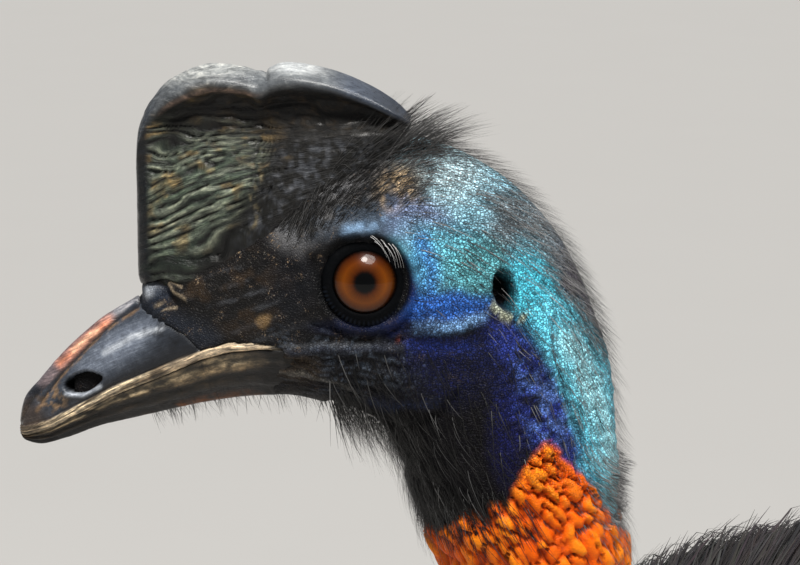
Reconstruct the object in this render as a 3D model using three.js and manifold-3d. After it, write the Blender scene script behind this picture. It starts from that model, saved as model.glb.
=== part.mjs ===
// A life-size northern cassowary, standing on both feet and looking to its right, as a still museum model.
// Millimetres, +Z up, the body faces -Y, the origin is on the ground under the middle of the bird.
import * as THREE from 'three';
import { mergeVertices } from 'three/addons/utils/BufferGeometryUtils.js';
import Module from 'manifold-3d';

const wasm = await Module();
wasm.setup();

// Driving dimensions
const EYE_HEIGHT = 1300;
const EYE_MIDDLE = new THREE.Vector3(-53, -319, EYE_HEIGHT);
const HEAD_TURN = THREE.MathUtils.degToRad(20);
const GAP = 0.3;
const EYE_RADIUS = 14;
const EYE_SIDE = 16;
const EYE_RISE = 5;
const LID_RADIUS = 12.2;
const LID_THICK = 2.6;
const CASQUE_TOP = 73;
const THROAT = [-12, -55];
const BODY_MID = 875;
const HOCK_HEIGHT = 345;
const TOE_MIDDLE = 165;
const TOE_OUTER = 118;
const TOE_INNER = 84;
const CLAW_DAGGER = 105;
const CLAW_PLAIN = 42;
const FOOT_APART = 106;
const LEG_BACK = 35;

const lerp = THREE.MathUtils.lerp;
const clamp = THREE.MathUtils.clamp;

// Colours and finishes
const paint = (color, roughness, metalness = 0) =>
  new THREE.MeshStandardMaterial({ color, roughness, metalness });
const HORN = paint(0x2a2e2c, 0.45);
const BILL_HORN = paint(0x4a443a, 0.4);
const BLACK_SKIN = paint(0x1c1b1a, 0.6);
const BLUE_SKIN = paint(0x2f7fae, 0.55);
const ORANGE_SKIN = paint(0xd9591a, 0.5);
const IRIS = paint(0x8a4310, 0.1);
const PLUMAGE = paint(0x17161a, 0.75);
const SCALES = paint(0x6d6457, 0.6);
const CLAW_HORN = paint(0x26221e, 0.4);

// A closed tube: section(t, angle) gives a point for t from 0 to 1 along it and an angle round it.
function loft(around, along, section) {
  const made = new THREE.CylinderGeometry(1, 1, 1, around, along);
  const place = made.getAttribute('position');
  const middle = (t) => {
    const sum = new THREE.Vector3();
    for (let i = 0; i < around; i++) sum.add(section(t, (i / around) * 2 * Math.PI));
    return sum.divideScalar(around);
  };
  for (let i = 0; i < place.count; i++) {
    const t = clamp(0.5 - place.getY(i), 0, 1);
    const reach = Math.hypot(place.getX(i), place.getZ(i));
    const point = reach < 0.5 ? middle(t) : section(t, Math.atan2(place.getX(i), place.getZ(i)));
    place.setXYZ(i, point.x, point.y, point.z);
  }
  return made;
}

// A closed mesh as a solid, turned the right way out.
function solidOf(geometry) {
  const bare = geometry.index ? geometry.toNonIndexed() : geometry.clone();
  bare.deleteAttribute('normal');
  bare.deleteAttribute('uv');
  const merged = mergeVertices(bare, 1e-3);
  const vertProperties = new Float32Array(merged.getAttribute('position').array);
  const triVerts = new Uint32Array(merged.index.array);
  const build = () => new wasm.Manifold(new wasm.Mesh({ numProp: 3, vertProperties, triVerts }));
  const made = build();
  if (made.volume() > 0) return made;
  triVerts.reverse();
  return build();
}

function geometryOf(solid) {
  const mesh = solid.getMesh();
  const made = new THREE.BufferGeometry();
  made.setAttribute('position', new THREE.BufferAttribute(new Float32Array(mesh.vertProperties), 3));
  made.setIndex(new THREE.BufferAttribute(new Uint32Array(mesh.triVerts), 1));
  return made;
}

const largest = (solid) => solid.decompose().sort((a, b) => b.volume() - a.volume())[0];

const unite = (solids) => wasm.Manifold.union(solids);

function ball(radius, x, y, z, stretch = [1, 1, 1], round = 16) {
  const made = new THREE.SphereGeometry(radius, round, Math.round(round * 0.6));
  made.scale(...stretch);
  made.translate(x, y, z);
  return solidOf(made);
}

// A flat outline in the head's X and Z, made a slab that runs across the whole head.
function slab(points, halfWidth = 60) {
  const outline = new THREE.Shape(points.map(([x, z]) => new THREE.Vector2(x, z)));
  const made = new THREE.ExtrudeGeometry(outline, { depth: 2 * halfWidth, bevelEnabled: false });
  made.rotateX(Math.PI / 2);
  made.translate(0, halfWidth, 0);
  return solidOf(made);
}

// A smooth curve through rows of numbers, read at u from 0 to 1.
function track(rows) {
  const last = rows.length - 1;
  return (u) => {
    const at = clamp(u, 0, 1) * last;
    const i = Math.min(Math.floor(at), last - 1);
    const f = at - i;
    const [a, b, c, d] = [rows[Math.max(i - 1, 0)], rows[i], rows[i + 1], rows[Math.min(i + 2, last)]];
    return b.map((_, k) => {
      const [p, q, r, s] = [a[k], b[k], c[k], d[k]];
      return 0.5 * (2 * q + (r - p) * f + (2 * p - 5 * q + 4 * r - s) * f * f + (3 * q - p - 3 * r + s) * f ** 3);
    });
  };
}

// A seeded draw of numbers from 0 to 1.
function drawer(seed) {
  let state = seed;
  return () => {
    state = (state * 1664525 + 1013904223) % 4294967296;
    return state / 4294967296;
  };
}

// A flat lock: a thin pointed leaf over a surface, which rises from its sunk root to its tip.
const LOCK_STATIONS = [
  { s: 0, wide: 0.3, up: 0 },
  { s: 0.12, wide: 0.6, up: 0.3 },
  { s: 0.42, wide: 1, up: 0.52 },
  { s: 0.74, wide: 0.7, up: 0.8 },
  { s: 1, wide: 0.07, up: 1 },
];
function lockSolid(surface, lock, grown = 0) {
  const at = (s, up, lift = 0) => surface(
    lock.t + lock.run * s,
    lock.angle + lock.drift * s + lock.bend * s * s,
    lerp(-lock.sunk, lock.rise, up) + lift,
  );
  const last = LOCK_STATIONS.length - 1;
  return solidOf(loft(3, last, (share, angle) => {
    const { s, wide, up } = LOCK_STATIONS[Math.round(share * last)];
    const middle = at(s, up);
    const facing = at(s, up, 1).sub(middle);
    const forward = at(s + 0.1, up).sub(at(s - 0.1, up)).normalize();
    const across = facing.cross(forward).normalize();
    const outward = new THREE.Vector3().crossVectors(forward, across);
    const halfWide = lock.wide * wide * 1.15 + grown * 1.7;
    const thick = lock.thick * (1 - 0.6 * s) + grown * 1.7;
    return middle
      .addScaledVector(across, halfWide * Math.sin(angle))
      .addScaledVector(outward, thick * Math.cos(angle));
  }));
}

// A coat: staggered rings of locks, each a little different, left out where the surface isn't clear.
function coatOf(surface, rows, seed, grown = 0, clear = () => true) {
  const draw = drawer(seed);
  const vary = (amount) => 1 + amount * (2 * draw() - 1);
  const locks = [];
  rows.forEach((row, i) => {
    for (let k = 0; k < row.count; k++) {
      const angle = ((k + (i % 2) / 2 + 0.2 * (draw() - 0.5)) / row.count) * 2 * Math.PI;
      const lock = {
        t: row.t + row.step * 0.25 * (draw() - 0.5),
        run: row.run * vary(0.12),
        angle,
        drift: -row.droop * Math.sin(angle) * vary(0.2),
        bend: 0.07 * (2 * draw() - 1),
        sunk: row.sunk,
        rise: row.rise * vary(0.15),
        wide: row.wide * vary(0.12),
        thick: row.thick,
      };
      if (clear(surface(lock.t, angle, 0))) locks.push(lockSolid(surface, lock, grown));
    }
  });
  return locks;
}

// The head, in its own frame: the origin is between the eyes, X runs back from the bill, Y across, Z up.
// Each station holds the lower point, the upper point, the half width, the height of the widest place
// as a share, and how pointed the section is. The fan stations turn about the corner of the throat.
const fan = (degrees, low, high, width, widest, point) => {
  const a = THREE.MathUtils.degToRad(degrees);
  const at = (r) => [THROAT[0] + r * Math.cos(a), THROAT[1] + r * Math.sin(a)];
  return [...at(low), ...at(high), width, widest, point];
};
const HEAD = [
  [-114.9, -51.5, -114.9, -47.5, 1.8, 0.4, 1],
  [-113.2, -53.3, -113.2, -39.6, 3.8, 0.4, 1],
  [-107.5, -54.4, -107.5, -32.4, 5.8, 0.38, 1.05],
  [-99, -51.8, -99, -22.8, 7.8, 0.36, 1.1],
  [-87, -47.6, -87, -12.2, 10.2, 0.36, 1.15],
  [-75, -44.6, -75, -4.6, 12.8, 0.37, 1.15],
  [-61.5, -41.3, -61.5, 6, 16.2, 0.38, 1.15],
  [-45, -38, -45, 17, 20, 0.4, 1.1],
  [-26, -37, -26, 31, 23.6, 0.42, 1.1],
  fan(90, 15, 96, 26, 0.44, 1.1),
  fan(75, 15.2, 107, 27.5, 0.45, 1.05),
  fan(60, 15.5, 107.5, 28.3, 0.47, 1),
  fan(45, 16, 104, 28.5, 0.48, 1),
  fan(30, 17.5, 99, 28.6, 0.5, 1),
  fan(15, 20, 94, 29.5, 0.5, 1),
  fan(0, 21.5, 93, 30.5, 0.5, 1),
  [12.7, -62, 81.9, -62, 31, 0.5, 1],
];
const headTrack = track(HEAD);

function headPoint(t, angle, grown = 0) {
  const [lowX, lowZ, highX, highZ, width, widest, point] = headTrack(t);
  const share = Math.pow(0.5 - 0.5 * Math.cos(angle), Math.log(widest) / Math.log(0.5));
  const side = Math.sin(angle);
  const long = Math.hypot(highX - lowX, highZ - lowZ);
  const up = lerp(-grown / long, 1 + grown / long, share);
  return new THREE.Vector3(
    lerp(lowX, highX, up),
    (width + grown) * Math.sign(side) * Math.pow(Math.abs(side), point),
    lerp(lowZ, highZ, up),
  );
}

const headWhole = solidOf(loft(24, 36, (t, angle) => headPoint(t, angle)));

// The mouth: a thin cut from the bill tip to the corner of the gape.
const MOUTH = [
  [-120, -52], [-112.9, -50.7], [-104.6, -47.6], [-97.4, -43.4], [-91.4, -40.1], [-83.8, -35.6],
  [-76.9, -32.3], [-68, -28.3], [-53.5, -21.2], [-44.2, -18.2], [-35, -16.9], [-24.8, -17],
];
const MOUTH_OPEN = 0.5;
const mouthTop = MOUTH.map(([x, z]) => [x, z + MOUTH_OPEN / 2]);
const mouthLow = MOUTH.map(([x, z]) => [x, z - MOUTH_OPEN / 2]).reverse();
const mouthCut = slab([...mouthTop, ...mouthLow]);

// The upper bill ends on a slant from the culmen to the corner of the gape, the lower one behind the gape.
const cutLine = (a, b, wide = GAP) => {
  const [dx, dz] = [b[0] - a[0], b[1] - a[1]];
  const long = Math.hypot(dx, dz);
  const [nx, nz] = [(-dz / long) * (wide / 2), (dx / long) * (wide / 2)];
  return slab([[a[0] + nx, a[1] + nz], [b[0] + nx, b[1] + nz], [b[0] - nx, b[1] - nz], [a[0] - nx, a[1] - nz]]);
};
const CULMEN_BACK = [-80, 4];
const GAPE = [-25.2, -16.9];
const JAW_BACK = [-37, -44];
const upperCut = cutLine(CULMEN_BACK, GAPE, 0.4);
const lowerCut = cutLine(GAPE, JAW_BACK, 0.4);

// The casque: a tall blade over the bill and skull with a rolled rim that is widest behind.
// Each station holds X, the foot height, the top height, and half widths at the foot, waist and rim.
const CASQUE = [
  [-76.5, 2, 46, 2.5, 2, 1.8],
  [-75.3, 0, 56, 6, 4.6, 4],
  [-71, -1, 63.5, 9, 6.4, 6.2],
  [-62, 3, 69, 12, 7.6, 8.2],
  [-51, 9, CASQUE_TOP, 14.5, 8.4, 9.4],
  [-40, 15, 72, 16.5, 9, 10.2],
  [-34, 20, 70.4, 17.5, 9.6, 10.8],
  [-26, 26, CASQUE_TOP, 18.5, 10.4, 12.2],
  [-12, 34, 70.5, 19, 12, 14],
  [0, 42, 65, 18, 13, 14],
  [9, 47, 59, 14, 12, 12],
  [14, 49, 54.5, 6, 6, 6],
];
const casqueTrack = track(CASQUE);
const CASQUE_SHAPE = [[0, 1, 0, 0], [0.3, 0.7, 0.3, 0], [0.62, 0, 1, 0], [0.84, 0, 0.3, 0.72], [0.93, 0, 0, 1], [1, 0, 0, 0.45]];

function casquePoint(t, angle) {
  const [x, foot, top, low, waist, rim] = casqueTrack(t);
  const up = 0.5 - 0.5 * Math.cos(angle);
  const shape = track(CASQUE_SHAPE);
  let [height, a, b, c] = shape(up);
  height = clamp(height, 0, 1);
  const side = Math.sin(angle);
  const wide = (a * low + b * waist + c * rim) * Math.sign(side) * Math.min(1, Math.abs(side) * 2.2);
  return new THREE.Vector3(x, wide, lerp(foot, top, height));
}

const headGrown = solidOf(loft(24, 36, (t, angle) => headPoint(t, angle, GAP)));
const casque = largest(solidOf(loft(16, 17, casquePoint)).subtract(headGrown));

// Eyes, sockets and lids
const eyeAt = (side, radius) => ball(radius, 0, side * EYE_SIDE, EYE_RISE, [1, 1, 1], 16);
function lidOf(side) {
  const made = new THREE.TorusGeometry(LID_RADIUS, LID_THICK, 6, 16);
  made.rotateX(Math.PI / 2);
  made.scale(1.04, 0.8, 0.97);
  made.translate(0.3, side * (EYE_SIDE + 8.2), EYE_RISE);
  return solidOf(made);
}
const browOf = (side) => ball(13, 3, side * 21, EYE_RISE + 14, [1.5, 0.42, 0.4], 12);

// The ear: an oval cup behind and below the eye.
const EAR = { x: 44.2, z: 4, half: [3.6, 6.4], wall: 1.6, depth: 7 };
function earPlug(side, wider, from, to) {
  const made = new THREE.CylinderGeometry(1, 1, 1, 14, 1);
  made.scale(EAR.half[0] + wider, to - from, EAR.half[1] + wider);
  made.rotateY(-0.12);
  made.translate(EAR.x, side * (from + to) / 2, EAR.z);
  return solidOf(made);
}
const EAR_SKIN = 27.4;
const earHole = (side) => earPlug(side, 0, EAR_SKIN - EAR.depth + 2, EAR_SKIN + 20);
const earCup = (side) =>
  earPlug(side, EAR.wall, EAR_SKIN - EAR.depth, EAR_SKIN + 8)
    .intersect(solidOf(loft(24, 36, (t, angle) => headPoint(t, angle, 0.9))))
    .subtract(earHole(side));

// Nostrils: an oval pit on each side of the bill.
const NOSTRIL = { x: -93.5, z: -31, half: [6.6, 3.6], tilt: 0.35, floor: 4.2 };
function nostrilPit(side) {
  const made = new THREE.CylinderGeometry(1, 1, 20, 14, 1);
  made.scale(NOSTRIL.half[0], 1, NOSTRIL.half[1]);
  made.rotateY(-NOSTRIL.tilt);
  made.translate(NOSTRIL.x, side * (NOSTRIL.floor + 10), NOSTRIL.z);
  return solidOf(made);
}

// The bird's left is -Y on its turned head and +X on its body.
const HEAD_SIDES = [['left', -1], ['right', 1]];
const BODY_SIDES = [['left', 1], ['right', -1]];
let headFlesh = unite([headWhole, ...HEAD_SIDES.flatMap(([, side]) => [lidOf(side), browOf(side)])]);
for (const [, side] of HEAD_SIDES) {
  headFlesh = headFlesh.subtract(eyeAt(side, EYE_RADIUS + GAP)).subtract(nostrilPit(side));
  headFlesh = headFlesh.subtract(earPlug(side, EAR.wall + GAP, EAR_SKIN - EAR.depth - GAP, EAR_SKIN + 20));
}
const headPieces = headFlesh
  .subtract(mouthCut)
  .subtract(upperCut)
  .subtract(lowerCut)
  .decompose()
  .filter((piece) => piece.volume() > 50);
const middleOf = (solid) => {
  const box = solid.boundingBox();
  return [(box.min[0] + box.max[0]) / 2, (box.min[2] + box.max[2]) / 2];
};
headPieces.sort((a, b) => middleOf(b)[0] - middleOf(a)[0]);
const skull = headPieces[0];
const [billUpper, billLower] = headPieces.slice(1, 3).sort((a, b) => middleOf(b)[1] - middleOf(a)[1]);

// The neck, in the bird's frame. Each station holds the middle of the section, the turn of its front,
// and its half sizes front to back and across.
const headTurn = new THREE.Matrix4().makeRotationZ(HEAD_TURN).setPosition(EYE_MIDDLE);
const fromHead = (x, y, z) => new THREE.Vector3(x, y, z).applyMatrix4(headTurn).toArray();
const NECK = [
  [...fromHead(47.3, 0, -62), 20, 34.6, 31],
  [...fromHead(50, 0, -72), 20, 32.6, 31.2],
  [...fromHead(54, 0, -84), 24, 30.4, 31],
  [...fromHead(57, 0, -97), 30, 29.2, 30.4],
  [0, -302, 1165, 50, 28.6, 30],
  [0, -308, 1128, 70, 29.5, 31.5],
  [0, -308, 1090, 85, 32, 35],
  [0, -300, 1052, 90, 38, 42],
  [0, -284, 1015, 90, 47, 52],
  [0, -262, 980, 90, 58, 65],
  [0, -236, 948, 90, 66, 76],
];
const neckTrack = track(NECK);

function neckPoint(t, angle, grown = 0) {
  const [x, y, z, turn, deep, wide] = neckTrack(t);
  const step = 0.01;
  const next = new THREE.Vector3(...neckTrack(Math.min(t + step, 1)).slice(0, 3));
  next.sub(new THREE.Vector3(...neckTrack(Math.min(t + step, 1) - step).slice(0, 3))).normalize();
  const down = new THREE.Vector3(0, 0, -1).lerp(next, clamp((t - 0.02) * 4, 0, 1)).normalize();
  const turned = THREE.MathUtils.degToRad(turn);
  const back = new THREE.Vector3(Math.cos(turned), Math.sin(turned), 0);
  back.addScaledVector(down, -back.dot(down)).normalize();
  const across = new THREE.Vector3().crossVectors(down, back);
  return new THREE.Vector3(x, y, z)
    .addScaledVector(back, -(deep + grown) * Math.cos(angle))
    .addScaledVector(across, -(wide + grown) * Math.sin(angle));
}

// A length of the neck between two shares of it.
const neckLength = (from, to, along, grown = 0, around = 20) =>
  solidOf(loft(around, along, (t, angle) => neckPoint(lerp(from, to, t), angle, grown)));

// The same with caruncles: staggered knobs stand out on every other ring, and fade at both ends.
function knobbyLength(from, to, around, along, knob, seed) {
  const draw = drawer(seed);
  const heights = Array.from({ length: (along + 1) * around }, () => 0.5 + draw());
  return solidOf(loft(around, along, (t, angle) => {
    const i = Math.round(t * along);
    const j = Math.round((angle / (2 * Math.PI)) * around + around) % around;
    const fade = clamp(Math.min(t, 1 - t) * 8, 0, 1);
    const lift = i % 2 && (j + (i - 1) / 2) % 2 ? knob * heights[i * around + j] : 0;
    return neckPoint(lerp(from, to, t), angle, fade * lift);
  }));
}

// The wattle: one short pear-shaped fold that hangs from the front of the neck.
const WATTLE = [[1, 3], [2, 7], [-2, 9.5], [-5, 11], [-7, 11.5], [-6, 9], [-3, 3]];
const WATTLE_ROOT = 0.39;
const WATTLE_LONG = 58;
const wattleTrack = track(WATTLE);
const wattle = solidOf(loft(10, 7, (t, angle) => {
  const root = neckPoint(WATTLE_ROOT, 0, -5);
  const outward = neckPoint(WATTLE_ROOT, 0, 0).sub(root).setZ(0).normalize();
  const [out, size] = wattleTrack(t);
  const across = new THREE.Vector3(-outward.y, outward.x, 0);
  return root
    .addScaledVector(outward, 8 - out + size * 0.75 * Math.cos(angle))
    .addScaledVector(across, size * Math.sin(angle))
    .add(new THREE.Vector3(0, 0, 10 - WATTLE_LONG * t));
}));

const NECK_CUTS = [0.012, 0.33, 0.62, 0.95];
const NECK_SHARE = 0.0012;
const NECK_ROWS = [{ t: 0.67, count: 6 }, { t: 0.77, count: 7 }].map((row) => ({
  ...row,
  step: 0.05,
  run: 0.15,
  droop: 0,
  sunk: 6,
  rise: 10,
  wide: 20,
  thick: 4,
}));

// The torso: a core about half the coat's depth inside the tips, with locks that lie back and hang down.
// Each station holds Y, the middle height, the half width and the reach up and down, out to the tips.
const COAT_DEPTH = 30;
const TORSO = [
  [-304, 930, 26, 22, 30],
  [-294, 929, 62, 56, 72],
  [-258, 926, 106, 96, 120],
  [-190, 914, 142, 130, 150],
  [-95, 899, 174, 163, 172],
  [0, 886, 196, 186, 184],
  [110, BODY_MID, 208, 205, 188],
  [220, 868, 205, 203, 198],
  [320, 850, 184, 178, 208],
  [400, 814, 146, 132, 216],
  [455, 763, 96, 80, 200],
  [482, 712, 46, 46, 130],
];
const torsoTrack = track(TORSO);
const TORSO_END = 0.93;

// A point of the torso's core, lifted off it. Past the end of the body the coat hangs down behind.
function torsoPoint(t, angle, lift = 0) {
  const [y, z, wide, up, down] = torsoTrack(Math.min(t, TORSO_END));
  const past = Math.max(t - TORSO_END, 0) * 1000;
  const cos = -Math.cos(angle);
  const sin = Math.sin(angle);
  const ridge = cos > 0 ? Math.pow(Math.abs(sin), 1.25) * Math.sign(sin) : sin;
  const shrink = lift - COAT_DEPTH;
  return new THREE.Vector3(
    (wide + shrink) * ridge * (1 - past / 700),
    y + past * 0.3,
    z + cos * ((cos > 0 ? up : down) + shrink) - past,
  );
}

const torsoCore = solidOf(loft(14, 9, (t, angle) => torsoPoint(lerp(0.045, TORSO_END, t), angle)));
const ringAt = (t) => {
  const [, , wide, up, down] = torsoTrack(t);
  return Math.PI * (wide + (up + down) / 2 - 2 * COAT_DEPTH);
};
const LOCK_SHARE = 0.43;
const TORSO_ROWS = [[0.16, 5], [0.25, 7], [0.345, 8], [0.44, 9], [0.535, 9], [0.63, 9], [0.72, 8], [0.81, 6]]
  .map(([t, count]) => ({
    t,
    count,
    wide: (LOCK_SHARE * ringAt(t + 0.08)) / count,
    step: 0.09,
    run: t > 0.8 ? 0.2 : 0.22,
    droop: t > 0.7 ? 0.25 : 0.5,
    sunk: 14,
    rise: COAT_DEPTH - 3,
    thick: 9,
  }));

// The legs: one line from the hip to the foot, with a half size across and front to back at each station.
const leg = (side) => track([
  [side * 88, 70, 810, 78, 96],
  [side * 92, 62, 725, 72, 92],
  [side * 97, 84, 625, 58, 72],
  [side * 100, 124, 525, 42, 50],
  [side * 102, 158, 435, 27, 32],
  [side * 103, 182, HOCK_HEIGHT + 25, 25, 29],
  [side * 104, 188, HOCK_HEIGHT - 15, 25, 29],
  [side * 104, 180, 285, 19, 23],
  [side * 105, 158, 200, 17, 21],
  [side * 106, 138, 115, 18, 22],
  [side * 106, 122, 60, 23, 26],
  [side * FOOT_APART, 112, 28, 28, 30],
]);

function legPoint(line, t, angle, grown = 0) {
  const [x, y, z, wide, deep] = line(t);
  const step = 0.01;
  const a = line(Math.max(t - step, 0));
  const b = line(Math.min(t + step, 1));
  const down = new THREE.Vector3(b[0] - a[0], b[1] - a[1], b[2] - a[2]).normalize();
  const back = new THREE.Vector3(0, 1, 0).addScaledVector(down, -down.y).normalize();
  const across = new THREE.Vector3().crossVectors(down, back);
  return new THREE.Vector3(x, y + LEG_BACK, z)
    .addScaledVector(back, -(deep + grown) * Math.cos(angle))
    .addScaledVector(across, -(wide + grown) * Math.sin(angle));
}

// The drumstick carries short locks that hang down it.
const THIGH_ROWS = [{ t: 0.135, count: 6 }, { t: 0.235, count: 6 }].map((row) => ({
  ...row,
  step: 0.05,
  run: 0.108,
  droop: 0,
  sunk: 8,
  rise: 9,
  wide: 28,
  thick: 5,
}));
const LEG_CUTS = [0.01, 0.352, 0.418, 1];
const LEG_SHARE = 0.0004;
function legLength(side, from, to, around, along, grown = 0) {
  const line = leg(side);
  return solidOf(loft(around, along, (t, angle) => legPoint(line, lerp(from, to, t), angle, grown)));
}

// The thigh's core lies inside its locks, and widens again to meet the bare shank.
const THIGH_DEPTH = 9;
function thighSolid(side, grown = 0) {
  const line = leg(side);
  const surface = (t, angle, lift) =>
    legPoint(line, t, angle, lift - THIGH_DEPTH * clamp((LEG_CUTS[1] - t) * 14, 0, 1));
  const from = LEG_CUTS[0] - (grown ? 2 : 0) * LEG_SHARE;
  const to = LEG_CUTS[1] - LEG_SHARE;
  const core = solidOf(loft(12, 7, (t, angle) => surface(lerp(from, to, t), angle, grown)));
  return unite([core, ...coatOf(surface, THIGH_ROWS, 11 + side, grown)]);
}

// The tarsus with its scutes: the lower edge of each plate in front stands proud of the next.
const SCUTES = 11;
const SCUTE_RISE = 1.8;
function tarsusTube(side) {
  const line = leg(side);
  const along = 2 * SCUTES - 1;
  return solidOf(loft(10, along, (t, angle) => {
    const ring = Math.round(t * along);
    const low = ring % 2;
    const share = (Math.floor(ring / 2) + (low ? 0.96 : 0.02)) / SCUTES;
    const front = clamp(2 * Math.cos(angle), 0, 1);
    return legPoint(line, lerp(LEG_CUTS[2] + LEG_SHARE, LEG_CUTS[3], share), angle, low * front * SCUTE_RISE);
  }));
}

// A toe, claw or quill: a tapering tube along a line, flat where it stands on the ground.
// Its upper side may carry plates, each with its far edge proud of the next.
function digit(points, sizes, around, along, floor = -Infinity, plateRise = 0) {
  const line = new THREE.CatmullRomCurve3(points.map((p) => new THREE.Vector3(...p)));
  const size = track(sizes);
  const plates = (along + 1) / 2;
  return solidOf(loft(around, along, (share, angle) => {
    const ring = Math.round(share * along);
    const far = ring % 2;
    const t = plateRise ? (Math.floor(ring / 2) + (far ? 0.95 : 0.02)) / plates : share;
    const middle = line.getPoint(t);
    const forward = line.getTangent(t);
    const across = new THREE.Vector3(forward.y, -forward.x, 0).normalize();
    const up = new THREE.Vector3().crossVectors(across, forward);
    const [wide, tall] = size(t);
    const proud = far * plateRise * clamp(2 * Math.cos(angle), 0, 1);
    const point = middle
      .addScaledVector(across, wide * Math.sin(angle))
      .addScaledVector(up, (tall + proud) * Math.cos(angle));
    point.z = Math.max(point.z, floor);
    return point;
  }));
}

const TOES = [
  { name: 'toe_middle', aim: 0, long: TOE_MIDDLE, size: 17.5, claw: CLAW_PLAIN + 6, plates: 7 },
  { name: 'toe_outer', aim: 34, long: TOE_OUTER, size: 15, claw: CLAW_PLAIN, plates: 5 },
  { name: 'toe_inner', aim: -27, long: TOE_INNER, size: 16, claw: CLAW_DAGGER, plates: 3 },
];
const FOOT = { y: 108, r: 31 };

function toeSolids(side, toe, grown = 0) {
  const a = THREE.MathUtils.degToRad(toe.aim) * side;
  const [sx, sy] = [Math.sin(a), -Math.cos(a)];
  const at = (d, z) => [side * FOOT_APART + sx * d, FOOT.y + LEG_BACK + sy * d, z];
  const r = toe.size;
  const start = 8 - grown;
  const end = toe.long + grown;
  const span = end - start;
  const toeBody = digit(
    [at(start, r * 1.05), at(start + span * 0.35, r * 0.95), at(start + span * 0.7, r * 0.84), at(end, r * 0.72)],
    [[1, 1.15], [0.84, 0.98], [1.02, 1], [0.78, 0.84], [0.9, 0.86], [0.62, 0.68]]
      .map(([wide, tall]) => [r * wide + grown, r * tall + grown]),
    9, 2 * toe.plates - 1, -grown, 1.3,
  );
  const thick = r * 0.6;
  const from = toe.long - 5;
  const claw = digit(
    [at(from, r * 0.7), at(from + toe.claw * 0.5, r * 0.8), at(from + toe.claw, r * 0.36)],
    [[thick, thick], [thick * 0.8, thick * 0.85], [thick * 0.5, thick * 0.55], [thick * 0.12, thick * 0.14]],
    7, 4, 0,
  );
  return [toeBody, claw];
}

function footSolids(side) {
  const base = ball(FOOT.r, side * FOOT_APART, FOOT.y + LEG_BACK, 24, [1, 1.05, 0.95], 14);
  const under = new THREE.BoxGeometry(200, 300, 60);
  under.translate(side * FOOT_APART, FOOT.y + LEG_BACK, -30);
  let tarsus = unite([base, tarsusTube(side)]).subtract(solidOf(under));
  const digits = [];
  const standing = [];
  for (const toe of TOES) {
    let [body, claw] = toeSolids(side, toe);
    for (const other of standing) body = body.subtract(other);
    const grown = toeSolids(side, toe, 1.2 * GAP)[0];
    claw = largest(claw.subtract(grown));
    standing.push(grown);
    digits.push([toe.name, body, claw]);
  }
  const root = footBlock(side);
  tarsus = largest(tarsus.subtract(root));
  return { tarsus, digits: digits.map(([name, body, claw]) => [name, largest(body.intersect(rootKeep(side))), claw]) };
}

// The toes start a gap in front of a block that stays with the foot.
const TOE_ROOT = 12;
function frontBlock(side, from) {
  const made = new THREE.BoxGeometry(400, 400, 400);
  made.translate(side * FOOT_APART, FOOT.y + LEG_BACK - from - 200, 0);
  return solidOf(made);
}
const footBlock = (side) => frontBlock(side, TOE_ROOT);
const rootKeep = (side) => frontBlock(side, TOE_ROOT + GAP);

// Wings: a short stub at the flank with bare quills that lie over the coat.
const QUILLS = 4;
const QUILL_RADIUS = 2.8;
function wingSolid(side, grown = 0) {
  const at = (t, fall, lift) => {
    const angle = 0.58 * Math.PI - fall;
    return torsoPoint(t, side > 0 ? angle : -angle, lift).toArray();
  };
  const stub = digit(
    [at(0.37, 0, -8), at(0.4, 0.02, 22), at(0.43, 0.06, 34), at(0.455, 0.1, 38)],
    [[19, 24], [17, 21], [11, 14], [5, 7]].map(([a, b]) => [a + grown, b + grown]),
    8, 4,
  );
  const quills = Array.from({ length: QUILLS }, (_, k) => digit(
    [
      at(0.435, 0.06, 35),
      at(0.49, 0.08 + 0.03 * k, 42),
      at(0.55 - 0.004 * k, 0.14 + 0.075 * k, 45),
      at(0.61 - 0.01 * k, 0.22 + 0.12 * k, 43),
    ],
    [[1, 1], [1, 1], [0.8, 0.8], [0.3, 0.3]].map(([a, b]) => [a * QUILL_RADIUS + grown, b * QUILL_RADIUS + grown]),
    4, 5,
  ));
  return unite([stub, ...quills]);
}

// Assembly
const bird = new THREE.Group();
const headGroup = new THREE.Group();
headGroup.position.copy(EYE_MIDDLE);
headGroup.rotation.z = HEAD_TURN;
bird.add(headGroup);

function addNode(group, name, solid, material) {
  const mesh = new THREE.Mesh(geometryOf(solid), material);
  mesh.name = name;
  group.add(mesh);
  return mesh;
}

addNode(headGroup, 'head', skull, BLACK_SKIN);
addNode(headGroup, 'bill_upper', billUpper, BILL_HORN);
addNode(headGroup, 'bill_lower', billLower, BILL_HORN);
addNode(headGroup, 'casque', casque, HORN);
for (const [name, side] of HEAD_SIDES) {
  const eye = new THREE.Mesh(new THREE.SphereGeometry(EYE_RADIUS, 16, 10), IRIS);
  eye.name = `eye_${name}`;
  eye.position.set(0, side * EYE_SIDE, EYE_RISE);
  headGroup.add(eye);
  addNode(headGroup, `ear_${name}`, largest(earCup(side)), BLUE_SKIN);
}

const cutEnds = (i) => [NECK_CUTS[i] + NECK_SHARE, NECK_CUTS[i + 1] - NECK_SHARE];
addNode(bird, 'neck_upper', knobbyLength(...cutEnds(0), 20, 7, 1.2, 3), BLUE_SKIN);
const neckMiddle = unite([knobbyLength(...cutEnds(1), 22, 14, 4.4, 5), wattle]);
addNode(bird, 'neck_middle', largest(neckMiddle), ORANGE_SKIN);

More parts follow.
